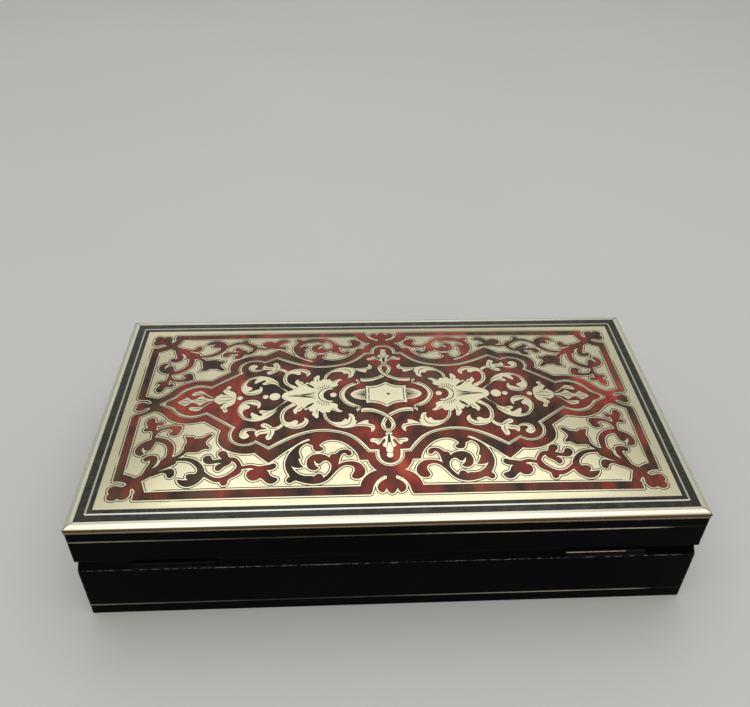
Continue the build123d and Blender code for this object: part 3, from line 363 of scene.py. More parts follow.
def line_brass():
    """Brass line let into the walls: lost under polish in places; along the back it is dimmed along half its
    length and brightened in other stretches, partly wear and partly painted highlight and shade.
    """
    kit = brass("line_brass", (0.30, 0.265, 0.205, 1), (0.13, 0.11, 0.08, 1), 0.35, 0.9, 60.0)
    base = kit.painted()
    spot = kit.axes()
    along = kit.spread(spot["X"], -HALF_LONG, HALF_LONG)
    # Along the back, brightness along the length: partly wear, partly painted highlight and shade.
    wear_and_painted_light = kit.ramp(
        along,
        [
            (0.05, (0.03, 0.03, 0.03)),
            (0.09, (1.9, 1.9, 1.9)),
            (0.20, (2.4, 2.4, 2.4)),
            (0.36, (1.7, 1.7, 1.7)),
            (0.52, (0.45, 0.45, 0.45)),
            (0.72, (0.25, 0.25, 0.25)),
            (0.97, (1.2, 1.2, 1.2)),
        ],
    )
    at_back = kit.spread(spot["Y"], HALF_SHORT - BACK_LINE_FADE[0], HALF_SHORT - BACK_LINE_FADE[1])
    colour = kit.mix(1.0, base, kit.mix(at_back, (1, 1, 1, 1), wear_and_painted_light), "MULTIPLY")
    gone = kit.spread(kit.cloud(kit.place(), 45.0, 3.0, 0.6), 0.56, 0.62, 0.0, 0.3)
    kit.set(base_color=kit.mix(gone, colour, (0.012, 0.009, 0.006, 1)))
    return kit.material


def hinge_brass(name, browned, rubbed, glint_dim_end):
    """Hinge browned and darkened with painted shade, with a painted glint along one line of its knuckles,
    dimmer on one end knuckle.
    """
    kit = brass(name, browned, tuple(0.5 * c for c in browned[:3]) + (1,), 0.3, 0.8, 120.0)
    base = kit.painted()
    spot = kit.axes()
    off_line = kit.math("SUBTRACT", spot["Z"], JOINT_HEIGHT + GLINT_HEIGHT)
    outer = kit.spread(spot["Y"], KNUCKLE_LINE - KNUCKLE_CREST[0], KNUCKLE_LINE - KNUCKLE_CREST[1])
    line = kit.math("MULTIPLY", kit.spread(kit.math("ABSOLUTE", off_line), *GLINT_HALF), outer)
    patch = kit.spread(kit.cloud(kit.place(), 260.0, 4.0, 0.6), 0.3, 0.55, 0.6, 1.0)
    end = kit.spread(spot["X"], glint_dim_end - GLINT_DIM_FADE[0], glint_dim_end + GLINT_DIM_FADE[1], 0.05, 1.0)
    shine = kit.math("MULTIPLY", kit.math("MULTIPLY", line, patch), end)
    # The rubbed colour is a painted glint laid along the knuckles; the browned colour is patina darkened
    # with painted shade.
    kit.set(base_color=kit.mix(shine, base, rubbed), metallic=kit.spread(shine, 0.0, 0.5))
    kit.set(specular_ior_level=0.03)
    return kit.material


def tortoiseshell():
    """Red-backed turtle shell: glowing patches streaked with near black, running across the lid."""
    kit = Finish("tortoiseshell")
    streak = kit.cloud(kit.place((105, 30, 60)), 1.0, 3.0, 0.5, 0.5)
    blotch = kit.cloud(kit.place((46, 32, 20)), 1.0, 2.5, 0.5, 0.9)
    hair = kit.cloud(kit.place((620, 60, 60)), 1.0, 3.0, 0.7)
    tone = kit.math("ADD", kit.math("MULTIPLY", streak, 0.34), kit.math("MULTIPLY", blotch, 0.60))
    tone = kit.math("ADD", tone, kit.math("MULTIPLY", hair, 0.06))
    colour = kit.ramp(
        tone,
        [
            (0.38, (0.032, 0.018, 0.012)),
            (0.44, (0.068, 0.029, 0.018)),
            (0.50, (0.145, 0.035, 0.021)),
            (0.57, (0.265, 0.036, 0.026)),
            (0.67, (0.46, 0.075, 0.043)),
        ],
    )
    cherry = kit.spread(kit.cloud(kit.place((30, 18, 20)), 1.3, 2.0), 0.52, 0.62, 0.0, 0.55)
    colour = kit.mix(cherry, colour, kit.mix(1.0, colour, (0.9, 0.55, 1.1, 1), "MULTIPLY"))
    film = kit.spread(kit.cloud(kit.place((40, 14, 20)), 1.0, 4.0, 0.6), 0.48, 0.68, 0.0, 0.55)
    colour = kit.mix(film, colour, (0.105, 0.078, 0.040, 1))
    kit.set(base_color=colour, roughness=kit.spread(hair, 0.3, 0.7, 0.2, 0.32))
    kit.set(specular_ior_level=0.17)
    kit.set(normal=kit.relief(streak, 0.05, 0.0001))
    return kit.material


def ebony_band():
    """Ebony veneer, its polish gone slightly grey."""
    kit = Finish("ebony_band")
    marks = kit.use(RUBBING, density=1.0)
    dust = kit.use(DUST, amount=0.5)
    grain = kit.cloud(kit.place((40, 700, 700)), 1.0, 4.0, 0.6)
    colour = kit.mix(kit.spread(grain, 0.4, 0.7), (0.009, 0.009, 0.006, 1), (0.026, 0.026, 0.020, 1))
    colour = kit.mix(dust.outputs["Mask"], colour, (0.12, 0.12, 0.095, 1))
    kit.set(base_color=colour, roughness=kit.spread(marks.outputs["Mask"], 0.0, 1.0, 0.22, 0.4))
    kit.set(specular_ior_level=0.4)
    kit.set(normal=kit.relief(grain, 0.08, 0.00005))
    return kit.material


def ebonised_wall():
    """Black french polish, pale grey along the arrises, partly rubbed through to filler and partly painted
    highlight.
    """
    kit = Finish("ebonised_wall")
    x, y, z = kit.axes()
    side = kit.near_face(x, HALF_LONG)
    back_or_front = kit.near_face(y, HALF_SHORT)
    outside = kit.math("MAXIMUM", side, back_or_front)
    lip = kit.math("MULTIPLY", kit.spread(kit.off(z, GROOVE_LIP), *LIP_FADE), back_or_front)
    amount = kit.spread(lip, 0.0, 1.0, 0.42, 0.53)
    at_back = kit.spread(y, HALF_SHORT - FACE_FADE[0], HALF_SHORT - FACE_FADE[1])
    upper = kit.math("MULTIPLY", kit.spread(kit.off(z, UPPER_LIP), *UPPER_LIP_FADE), at_back)
    outside = kit.math("SUBTRACT", outside, upper, clamp=True)
    for inlay in ("base_string_inlay", "lid_string_inlay"):
        low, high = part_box(inlay)
        beside = kit.spread(kit.off(z, (low.z + high.z) / 2), *INLAY_FADE)
        outside = kit.math("MULTIPLY", outside, beside)
    wear = kit.use(ARRIS_WEAR_AND_GLINT, width=0.7 * MM, patch_size=260.0, amount=amount, where=outside)
    thin = kit.use(ARRIS_WEAR_AND_GLINT, width=0.5 * MM, patch_size=60.0, amount=0.9, where=lip)
    # Pale grey along the arrises and the groove's lip: partly worn polish, partly painted highlight.
    worn_and_glinting = kit.math("MULTIPLY", wear.outputs["Mask"], 0.75)
    worn_and_glinting = kit.math("MAXIMUM", worn_and_glinting, kit.math("MULTIPLY", thin.outputs["Mask"], 0.07))
    marks = kit.use(RUBBING, density=0.8)
    sheen = kit.cloud(kit.place((9, 9, 30)), 1.0, 3.0, 0.5)
    colour = kit.mix(kit.spread(sheen, 0.4, 0.65), (0.0008, 0.0008, 0.0008, 1), (0.0016, 0.0018, 0.0018, 1))
    colour = kit.mix(worn_and_glinting, colour, (0.56, 0.59, 0.59, 1))
    rough = kit.spread(sheen, 0.35, 0.7, 0.16, 0.3)
    rough = kit.math("ADD", rough, kit.math("MULTIPLY", wear.outputs["Mask"], 0.3))
    rough = kit.math("ADD", rough, kit.math("MULTIPLY", marks.outputs["Mask"], 0.08))
    kit.set(base_color=colour, roughness=rough, specular_ior_level=0.022)
    kit.set(normal=kit.relief(marks.outputs["Height"], 0.04, 0.00003, wear.outputs["Normal"]))
    return kit.material


def carcass_wood():
    """Plain oiled wood of the bottom board and under the veneer."""
    kit = Finish("carcass_wood")
    ring = kit.add("ShaderNodeTexWave", wave_type="BANDS", bands_direction="Y")
    kit.put(ring.inputs["Vector"], kit.place((6, 60, 60)))
    ring.inputs["Scale"].default_value = 1.2
    ring.inputs["Distortion"].default_value = 6.0
    ring.inputs["Detail"].default_value = 3.0
    pore = kit.cloud(kit.place((60, 1400, 1400)), 1.0, 3.0, 0.7)
    colour = kit.ramp(ring.outputs["Fac"], [(0.1, (0.16, 0.085, 0.04)), (0.9, (0.30, 0.18, 0.09))])
    colour = kit.mix(kit.spread(pore, 0.6, 0.7), colour, (0.08, 0.04, 0.02, 1))
    kit.set(base_color=colour, roughness=kit.spread(pore, 0.4, 0.7, 0.5, 0.65))
    kit.set(normal=kit.relief(pore, 0.15, 0.0001))
    return kit.material


def filed_steel():
    """Steel of the screws and the lock, browned by age."""
    kit = Finish("filed_steel")
    stain = kit.use(TARNISH, amount=0.9, cloud_size=300.0)
    marks = kit.use(RUBBING, density=1.5)
    colour = kit.mix(stain.outputs["Cloud"], (0.42, 0.40, 0.36, 1), (0.16, 0.11, 0.07, 1))
    kit.set(base_color=colour, metallic=1.0)
    kit.set(roughness=kit.spread(stain.outputs["Cloud"], 0.0, 1.0, 0.32, 0.5))
    kit.set(normal=kit.relief(marks.outputs["Height"], 0.2, 0.00003))
    return kit.material


def velvet():
    """Crimson silk velvet, paler where the pile lies over."""
    kit = Finish("velvet")
    lay = kit.cloud(kit.place(), 38.0, 4.0, 0.6, 0.8)
    pile = kit.cloud(kit.place(), 2600.0, 2.0, 0.5)
    colour = kit.mix(kit.spread(lay, 0.35, 0.7), (0.11, 0.008, 0.016, 1), (0.22, 0.02, 0.035, 1))
    colour = kit.mix(kit.spread(pile, 0.4, 0.7, 0.0, 0.35), colour, (0.05, 0.003, 0.006, 1))
    kit.set(base_color=colour, roughness=kit.spread(pile, 0.3, 0.7, 0.85, 1.0))
    kit.set(sheen_weight=0.7, sheen_roughness=0.35, sheen_tint=(0.75, 0.3, 0.3, 1))
    kit.set(normal=kit.relief(pile, 0.35, 0.0003))
    return kit.material


def engraving():
    """Cut line filled with black wax, half worn out."""
    kit = Finish("engraving")
    wax = kit.cloud(kit.place(), 500.0, 3.0, 0.6)
    colour = kit.mix(kit.spread(wax, 0.45, 0.65), (0.020, 0.019, 0.011, 1), (0.05, 0.047, 0.028, 1))
    kit.set(base_color=colour, roughness=kit.spread(wax, 0.3, 0.7, 0.5, 0.7), specular_ior_level=0.15)
    return kit.material


def dress(material, *names):
    """Give whole nodes of the box one finish."""
    for name in names:
        mesh = nodes[name].data
        mesh.materials.clear()
        mesh.materials.append(material)


BRASS_FIELD = (
    "marquetry_frame marquetry_spandrels strapwork shield oval_straps knots fleurs palmettes leaf_scrolls "
    "stem_scrolls thorn_scrolls flowers volutes bells pendants pendant_leaves beads"
).split()


def dress_the_box():
    """A finish for every node but the linings, which velvet replaces."""
    dress(marquetry_brass(), *BRASS_FIELD)
    dress(tortoiseshell(), "tortoiseshell_ground")
    # Lit and shaded copies of one brass: the back moulding is bright, and the front and ends are duller,
    # partly dulled brass and partly painted shade.
    polished_and_lit_moulding = moulding_brass("moulding_brass", (0.94, 0.89, 0.73, 1), (0.80, 0.74, 0.57, 1))
    dulled_and_shaded_moulding = moulding_brass("moulding_brass_dulled_and_shaded", (0.76, 0.745, 0.60, 1), (0.60, 0.58, 0.44, 1))
    dress(polished_and_lit_moulding, "moulding_back")
    dress(dulled_and_shaded_moulding, "moulding_front", "moulding_left", "moulding_right")
    dress(line_brass(), "base_string_inlay", "lid_string_inlay")
    dress(edge_line_brass(), "top_brass_line")
    dress(ebony_band(), "ebony_border_outer", "ebony_border_inner")
    sides = ("front", "back", "left", "right")
    dress(ebonised_wall(), *[f"{part}_{side}_wall" for part in ("base", "lid") for side in sides])
    dress(carcass_wood(), "base_bottom_board", "lid_top_board")
    # Lit and shaded copies of one hinge brass: the left hinge has a painted glint on its knuckles, the right
    # one is darker with painted shade; the glint is dimmer on the end knuckle.
    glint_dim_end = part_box("hinge_left_lid_leaf")[0].x + END_KNUCKLE
    bright = hinge_brass("hinge_brass", (0.005, 0.0042, 0.0035, 1), (0.30, 0.275, 0.215, 1), glint_dim_end)
    dark = hinge_brass("hinge_brass_painted_shade", (0.0025, 0.002, 0.0016, 1), (0.008, 0.007, 0.006, 1), glint_dim_end)
    dress(bright, "hinge_left_base_leaf", "hinge_left_lid_leaf")
    dress(dark, "hinge_right_base_leaf", "hinge_right_lid_leaf")
    fittings = brass("fittings_brass", (0.55, 0.47, 0.30, 1), (0.28, 0.22, 0.13, 1), 0.28, 0.7, 90.0)
    dress(fittings.material, "lid_link_plate", "keyhole_escutcheon")
    steel = filed_steel()
    dress(steel, "hinge_pins", "hinge_base_screws", "hinge_lid_screws", "lock_case", "lock_bolt")
    dress(steel, "lock_screws", "link_plate_screws")


dress_the_box()


# Engraving: lines cut into the brass, as narrow dark bars sunk in the crown, their tops a hair above it.
LINE_LIFT = 0.015 * MM
LINE_DEEP = 0.12 * MM
SAMPLE_STEP = 0.15 * MM
STROKE_STEP = 0.5 * MM
LONGEST_STEP = 1.6 * MM
BORDER_INSET = 1.0 * MM
BORDER_WIDE = 0.44 * MM
STRAP_INSETS = (("strapwork", 0.72 * MM), ("oval_straps", 0.85 * MM), ("knots", 0.9 * MM))
STRAP_WIDE = 0.42 * MM
GLUE_WIDE = 0.28 * MM
# Outlines are compared in whole microns; a step as near as this to a seam or the border isn't sawn.
MICRON = 1e-6
MICRONS_IN_METRE = 1e6
SEAM_UM = 3
# A face that looks up by more than this belongs to the top of a sheet.
FACES_UP = 0.7
# Bends in radians: where an inset line is fanned out, by how much a time, and where it keeps a spot.
SHARP_BEND = 0.1
FAN_STEP = 0.3
KEPT_BEND = 0.05
# How near to an edge an inset line may come, how wide a break ends it and how few spots are too few.
INSET_GIVE = 0.985
STEP_GIVE = 0.4
BREAK_STEPS = 4
TOO_FEW = 6
NO_LENGTH = 1e-7


def beside_shell(a, b):
    """Whether a step of an outline is a sawn edge, not a seam of the packet or the field's border."""
    for i, reach in ((0, FIELD_HALF.x), (1, FIELD_HALF.y)):
        limit = reach * MICRONS_IN_METRE - SEAM_UM
        if max(abs(a[i]), abs(b[i])) < SEAM_UM or min(abs(a[i]), abs(b[i])) > limit:
            return False
    return True


def sawn_edges(name):
    """Edge lines of a piece seen from above, with the piece on their left, and whether each closes."""
    mesh = nodes[name].data
    keys = [(round(v.co.x * MICRONS_IN_METRE), round(v.co.y * MICRONS_IN_METRE)) for v in mesh.vertices]
    steps = set()
    for polygon in mesh.polygons:
        if polygon.normal.z > FACES_UP:
            ring = [keys[i] for i in polygon.vertices]
            steps.update(zip(ring, ring[1:] + ring[:1]))
    following = {a: b for a, b in steps if (b, a) not in steps and beside_shell(a, b)}
    heads = set(following) - set(following.values())
    lines = []
    while following:
        start = heads.pop() if heads else next(iter(following))
        line = [start]
        while line[-1] in following:
            line.append(following.pop(line[-1]))
        closed = line[-1] == line[0]
        spots = [Vector((x * MICRON, y * MICRON, 0)) for x, y in line]
        lines.append((spots[:-1] if closed else spots, closed))
    return [(spots, closed) for spots, closed in lines if len(spots) > 2]


def sampled(spots, closed, step):
    """Spots at an even step along a line, with its corners kept."""
    found = []
    for a, b in zip(spots, spots[1:] + (spots[:1] if closed else [])):
        count = max(1, math.ceil((b - a).length / step))
        found += [a.lerp(b, i / count) for i in range(count)]
    return found if closed else found + [spots[-1]]


def leftward(a, b):
    """Direction to the left of the way from one spot to another."""
    run = (b - a).normalized()
    return Vector((-run.y, run.x, 0))


def shifted(spots, closed, inset):
    """The line moved to its left, fanned out where it bends sharply to the right."""
    count = len(spots)
    trail = []
    for i, spot in enumerate(spots):
        before = leftward(spots[i - 1], spot) if closed or i else leftward(spot, spots[1])
        after = leftward(spot, spots[(i + 1) % count]) if closed or i < count - 1 else before
        angle = math.atan2(before.cross(after).z, before.dot(after))
        fan = max(1, math.ceil(-angle / FAN_STEP)) if angle < -SHARP_BEND else 1
        for k in range(fan):
            turn = Matrix.Rotation(angle * (k + 0.5) / fan, 3, "Z")
            trail.append(spot + turn @ before * inset)
    return trail


def inset_lines(edges, inset, chosen=None, outer_side=False):
    """Lines inside the edges at a distance, left out where the brass is too narrow for them."""
    nearby = [spot for spots, closed in edges for spot in sampled(spots, closed, SAMPLE_STEP)]
    tree = kdtree.KDTree(len(nearby))
    for i, spot in enumerate(nearby):
        tree.insert(spot, i)
    tree.balance()
    near = INSET_GIVE * inset - STEP_GIVE * SAMPLE_STEP
    lines = []
    for spots, closed in chosen or edges:
        trail = shifted(sampled(spots, closed, 2 * SAMPLE_STEP), closed, inset)
        nearest = [tree.find(spot) for spot in trail]
        kept = [
            gap > near and not (outer_side and (spot - edge).dot(spot) > 0)
            for spot, (edge, _, gap) in zip(trail, nearest)
        ]
        if closed and all(kept):
            lines.append((trail, True))
            continue
        if closed:
            first = kept.index(False)
            trail = trail[first:] + trail[:first]
            kept = kept[first:] + kept[:first]
        run = []
        for spot, good in zip(trail, kept):
            if not good:
                continue
            if run and (spot - run[-1]).length > BREAK_STEPS * SAMPLE_STEP:
                lines.append((run, False))
                run = []
            run.append(spot)
        lines.append((run, False))
    return [(thinned(line), closed) for line, closed in lines if len(line) > TOO_FEW]


def thinned(line):
    """The same line with fewer spots where it runs straight."""
    kept = [line[0]]
    for i in range(1, len(line) - 1):
        ahead = line[i + 1] - line[i]
        behind = line[i] - kept[-1]
        if behind.length < NO_LENGTH or ahead.length < NO_LENGTH:
            continue
        if behind.angle(ahead) > KEPT_BEND or behind.length > LONGEST_STEP:
            kept.append(line[i])
    kept.append(line[-1])
    return kept


def cut_lines(name, lines, width, taper, lift=LINE_LIFT):
    """One piece of narrow strips along lines, each a closed bar sunk in the lid's crown."""
    corners = []
    faces = []
    for line, closed in lines:
        count = len(line)
        if count < 2:
            continue
        start = len(corners)
        for i, spot in enumerate(line):
            ahead = line[(i + 1) % count] if closed or i < count - 1 else spot
            behind = line[i - 1] if closed or i > 0 else spot
            wide = width if closed else width * taper(i / (count - 1), min(i, count - 1 - i))
            side = leftward(behind, ahead) * wide / 2
            for sign, drop in ((1, 0), (-1, 0), (-1, LINE_DEEP), (1, LINE_DEEP)):
                p = spot + side * sign
                corners.append((p.x, p.y, crown(p.x, p.y) + lift - drop))
        for i in range(count if closed else count - 1):
            a = start + 4 * i
            b = start + 4 * ((i + 1) % count)
            for k in range(4):
                faces.append((a + k, a + (k + 1) % 4, b + (k + 1) % 4, b + k))
        if not closed:
            last = start + 4 * (count - 1)
            faces.append((start + 3, start + 2, start + 1, start))
            faces.append((last, last + 1, last + 2, last + 3))
    mesh = bpy.data.meshes.new(name)
    mesh.from_pydata(corners, [], faces)
    mesh.materials.append(ENGRAVING)
    piece = bpy.data.objects.new(name, mesh)
    bpy.context.scene.collection.objects.link(piece)
    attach(piece, "lid")


def blunt(share, steps):
    """A graver's even line, pointed only at its very ends."""
    return min(1.0, 0.35 + 0.25 * steps)


def swelling(share, steps):
    """A stroke that swells in the middle and dies away at both ends."""
    return 0.2 + 0.8 * math.sin(math.pi * share) ** 0.8


def wedge(share, steps):
    """A stroke cut deep at its start, running out to a point."""
    return max(0.12, math.cos(math.pi / 2 * share) ** 0.7 * min(1.0, 0.5 + 8 * share))


def smooth(points):
    """Even curve through a few points given in millimetres."""
    spots = [Vector((x * MM, y * MM, 0)) for x, y in points]
    ends = [2 * spots[0] - spots[1]] + spots + [2 * spots[-1] - spots[-2]]
    curve = []
    for p0, p1, p2, p3 in zip(ends, ends[1:], ends[2:], ends[3:]):
        steps = max(2, math.ceil((p2 - p1).length / STROKE_STEP))
        for i in range(steps):
            t = i / steps
            square = (2 * p0 - 5 * p1 + 4 * p2 - p3) * t**2
            cube = (3 * p1 - p0 - 3 * p2 + p3) * t**3
            curve.append(0.5 * ((2 * p1) + (p2 - p0) * t + square + cube))
    return curve + [spots[-1]]


# Ways to repeat a stroke: the signs of its two places for each copy.
QUARTERS = ((1, 1), (1, -1), (-1, 1), (-1, -1))
HALF_TURN = ((1, 1), (-1, -1))
ONCE = ((1, 1),)


def repeated(lines, signs):
    """Strokes drawn once, with their copies on the other sides of the lid's middle."""
    return [
        ([Vector((spot.x * sx, spot.y * sy, 0)) for spot in smooth(points)], False)
        for points in lines
        for sx, sy in signs
    ]


# Strokes of the graver on the cartouche, in millimetres from the middle of the lid.
PALMETTE_RIB = [
    [(36.0, 2.7), (39.0, 1.7), (42.5, 0.9), (46.0, 0.35), (50.5, 0.05)],
    [(36.6, 1.0), (40.0, 0.6), (44.0, 0.2)],
]
PALMETTE_FOLDS = [[(37.2, 5.7), (39.2, 7.4), (41.8, 9.7)]]
PALMETTE_VEINS = [
    [(36.0, 13.6), (35.7, 11.8), (35.2, 10.0)],
    [(45.4, 10.9), (43.8, 9.2), (42.4, 8.2)],
    [(25.2, 11.9), (26.8, 10.9), (28.2, 9.8)],
]
PALMETTE_COLLAR = [[(35.0, -0.2), (34.8, 1.5), (34.0, 3.2), (32.4, 4.6), (30.3, 5.5), (28.4, 5.8)]]
PALMETTE_RAYS = [
    [(34.6, 4.3), (35.9, 6.2)],
    [(33.9, 5.0), (34.6, 7.4)],
    [(33.0, 5.5), (33.3, 8.2)],
    [(32.1, 5.9), (32.0, 8.6)],
    [(31.1, 6.2), (30.7, 8.3)],
    [(30.0, 6.3), (29.2, 8.2)],
]
SCROLL_VEINS = [
    [(48.4, 7.0), (50.6, 8.9), (52.2, 11.2), (53.0, 13.8), (53.0, 16.4), (52.2, 18.6), (50.9, 20.3)],
    [(49.6, 21.4), (47.0, 22.2), (44.4, 22.2), (42.2, 21.3), (40.9, 19.6), (40.7, 18.0)],
    [(74.9, 6.6), (74.9, 9.6), (74.0, 12.2), (72.0, 14.4), (69.4, 15.8), (66.4, 16.3)],
    [(73.7, 5.2), (72.6, 3.9), (70.6, 3.0), (68.4, 2.9), (66.4, 3.6), (65.2, 5.0)],
    [(52.2, 4.2), (54.6, 7.3), (56.6, 10.4), (59.0, 12.6), (61.6, 14.4)],
    [(59.5, 11.6), (61.6, 11.2), (63.0, 11.6)],
    [(31.6, 12.8), (31.2, 15.8), (29.8, 18.6), (27.6, 20.6), (25.0, 21.9)],
    [(24.4, 21.9), (22.0, 22.0), (19.6, 21.0), (18.4, 19.0), (18.2, 17.0), (18.8, 15.2)],
    [(17.6, 22.2), (14.4, 21.6), (11.4, 21.9), (9.3, 22.2), (7.7, 23.0), (7.6, 24.5)],
    [(54.3, 22.4), (56.4, 22.7), (58.0, 22.4), (59.4, 21.2), (61.0, 20.2), (61.9, 20.0)],
    [(58.4, 22.8), (57.9, 24.6), (58.0, 26.6), (58.5, 28.4)],
    [(59.2, 23.8), (61.4, 24.1), (63.4, 24.6), (64.6, 25.8)],
    [(65.4, 23.5), (67.2, 22.6), (69.2, 22.3), (71.2, 23.1), (72.3, 25.0), (71.8, 26.8)],
]
BELL_CUTS = [[(84.6, 4.0), (83.0, 3.4), (81.4, 2.7)]]
PENDANT_VEINS = [
    [(78.2, 0.0), (80.6, 1.2), (83.2, 1.4), (86.2, 0.9)],
    [(91.6, 0.0), (94.4, 0.7), (96.6, 0.9), (98.6, 0.4)],
    [(100.9, 0.1), (102.2, 1.0), (104.0, 1.1), (105.8, 0.3)],
    [(92.2, 3.4), (94.2, 5.0), (96.6, 6.0), (99.2, 5.8)],
    [(82.0, 9.0), (82.2, 7.8), (82.9, 6.4)],
]
SHIELD_LINE = [
    [(8.9, -0.2), (9.0, 2.6), (9.0, 5.2)],
    [(9.0, 5.2), (6.6, 5.2), (3.8, 6.0), (1.6, 7.2), (0.0, 8.4)],
    [(10.4, -0.2), (10.55, 2.2), (10.5, 4.3)],
]
ROSETTE_RAYS = [
    [(10.7, 0.25), (13.4, 0.35), (16.6, 0.4)],
    [(10.7, 0.9), (13.2, 1.25), (15.8, 1.7)],
    [(10.7, 1.8), (12.6, 2.2), (14.6, 2.8)],
    [(10.7, 2.8), (11.8, 3.1), (13.0, 3.5)],
]
CLIP_LINES = [
    [(16.4, 8.2), (15.9, 9.8), (15.5, 11.4)],
    [(15.3, 8.1), (15.0, 9.6), (14.9, 11.3)],
    [(14.3, 8.7), (14.1, 9.8), (14.1, 11.1)],
]
# Edges of the strap that passes over the other in the knot at the back; the other knot is turned round.
KNOT_CROSSING = [
    [(2.4, 13.05), (1.1, 13.9), (0.0, 14.9), (-1.0, 15.9), (-1.9, 17.1)],
    [(2.2, 16.05), (1.3, 16.8), (0.5, 17.6), (-0.2, 18.5), (-0.8, 19.5)],
]
FLEUR_SLIT = [[(0.0, 27.7), (0.0, 29.6), (0.0, 31.4), (0.0, 33.4)]]
FLEUR_VEINS = [
    [(0.35, 29.2), (0.5, 31.6), (1.0, 34.2), (1.6, 36.2)],
    [(2.6, 30.1), (4.6, 31.3), (6.6, 31.6), (8.4, 31.5)],
    [(3.6, 31.0), (4.8, 32.4), (5.6, 33.2)],
    [(0.0, 38.9), (0.8, 39.1), (1.2, 39.0)],
    [(0.0, 28.3), (0.9, 28.5), (1.5, 28.9)],
    [(0.0, 26.9), (0.9, 27.0), (1.4, 27.5)],
]
SHIELD_DOT = [[(-2.1, 0.0), (-1.3, 0.0), (-0.9, 0.0), (0.0, 0.0)]]


def engrave_borders():
    """The line that follows every sawn edge of the frame and the spandrels."""
    for name in ("marquetry_frame", "marquetry_spandrels"):
        lines = inset_lines(sawn_edges(name), BORDER_INSET)
        cut_lines(name + "_engraving", lines, BORDER_WIDE, blunt)


def engrave_straps():
    """One line along the outer side of each strap of the cartouche."""
    lines = []
    for name, inset in STRAP_INSETS:
        edges = sawn_edges(name)
        if name == "strapwork":
            outer = max(edges, key=lambda edge: max(spot.length for spot in edge[0]))
            lines += inset_lines(edges, inset, [outer])
        else:
            lines += inset_lines(edges, inset, outer_side=True)
    cut_lines("strap_engraving", lines, STRAP_WIDE, blunt)


# Listed strokes: piece, lines, how they repeat, width in millimetres and how they end.
HAND_STROKES = (
    ("fine_strokes", PENDANT_VEINS + FLEUR_VEINS + PALMETTE_VEINS, QUARTERS, 0.4, swelling),
    ("scroll_strokes", SCROLL_VEINS, QUARTERS, 0.45, swelling),
    ("palmette_rays", PALMETTE_RAYS, QUARTERS, 0.4, wedge),
    ("palmette_rib", PALMETTE_RIB, QUARTERS, 0.6, swelling),
    ("palmette_folds", PALMETTE_FOLDS, QUARTERS, 1.5, swelling),
    ("rosette_rays", ROSETTE_RAYS, QUARTERS, 0.6, wedge),
    ("bell_strokes", BELL_CUTS, QUARTERS, 0.75, wedge),
    ("clip_stripes", CLIP_LINES, QUARTERS, 0.55, blunt),
    ("rim_lines", PALMETTE_COLLAR + SHIELD_LINE, QUARTERS, 0.52, blunt),
    ("knot_crossings", KNOT_CROSSING, HALF_TURN, 0.55, blunt),
    ("fleur_slits", FLEUR_SLIT, HALF_TURN, 1.3, swelling),
    ("shield_dot", SHIELD_DOT, ONCE, 1.6, swelling),
)


def engrave_cartouche():
    """Veins, rays and rims from the listed strokes."""
    for name, lines, signs, width, taper in HAND_STROKES:
        cut_lines(name, repeated(lines, signs), width * MM, taper)


def fill_saw_lines():
    """Dark glue in the saw line between brass and shell."""
    lines = []
    for name in BRASS_FIELD:
        for spots, closed in sawn_edges(name):
            lines.append((thinned(sampled(spots, closed, STROKE_STEP)), closed))
    cut_lines("saw_line_glue", lines, GLUE_WIDE, blunt, LINE_LIFT / 2)


ENGRAVING = engraving()
engrave_borders()
engrave_straps()
engrave_cartouche()
fill_saw_lines()


# Velvet inside: a pad on the floor, covered cards round the walls and in the lid.
WALL_CARD_THICK = 0.8 * MM
VELVET_CELL = 2.2 * MM
# Share of a wall card's thickness that the slack waves may take off.
WALL_PUFF = 0.2
# Share of the full thickness at the rim and at the next three cells inwards.
RIM_SHARES = (0.25, 0.72, 0.9, 0.97)
WAVE_RATE = 0.11
WAVE_SHIFT = 3.7


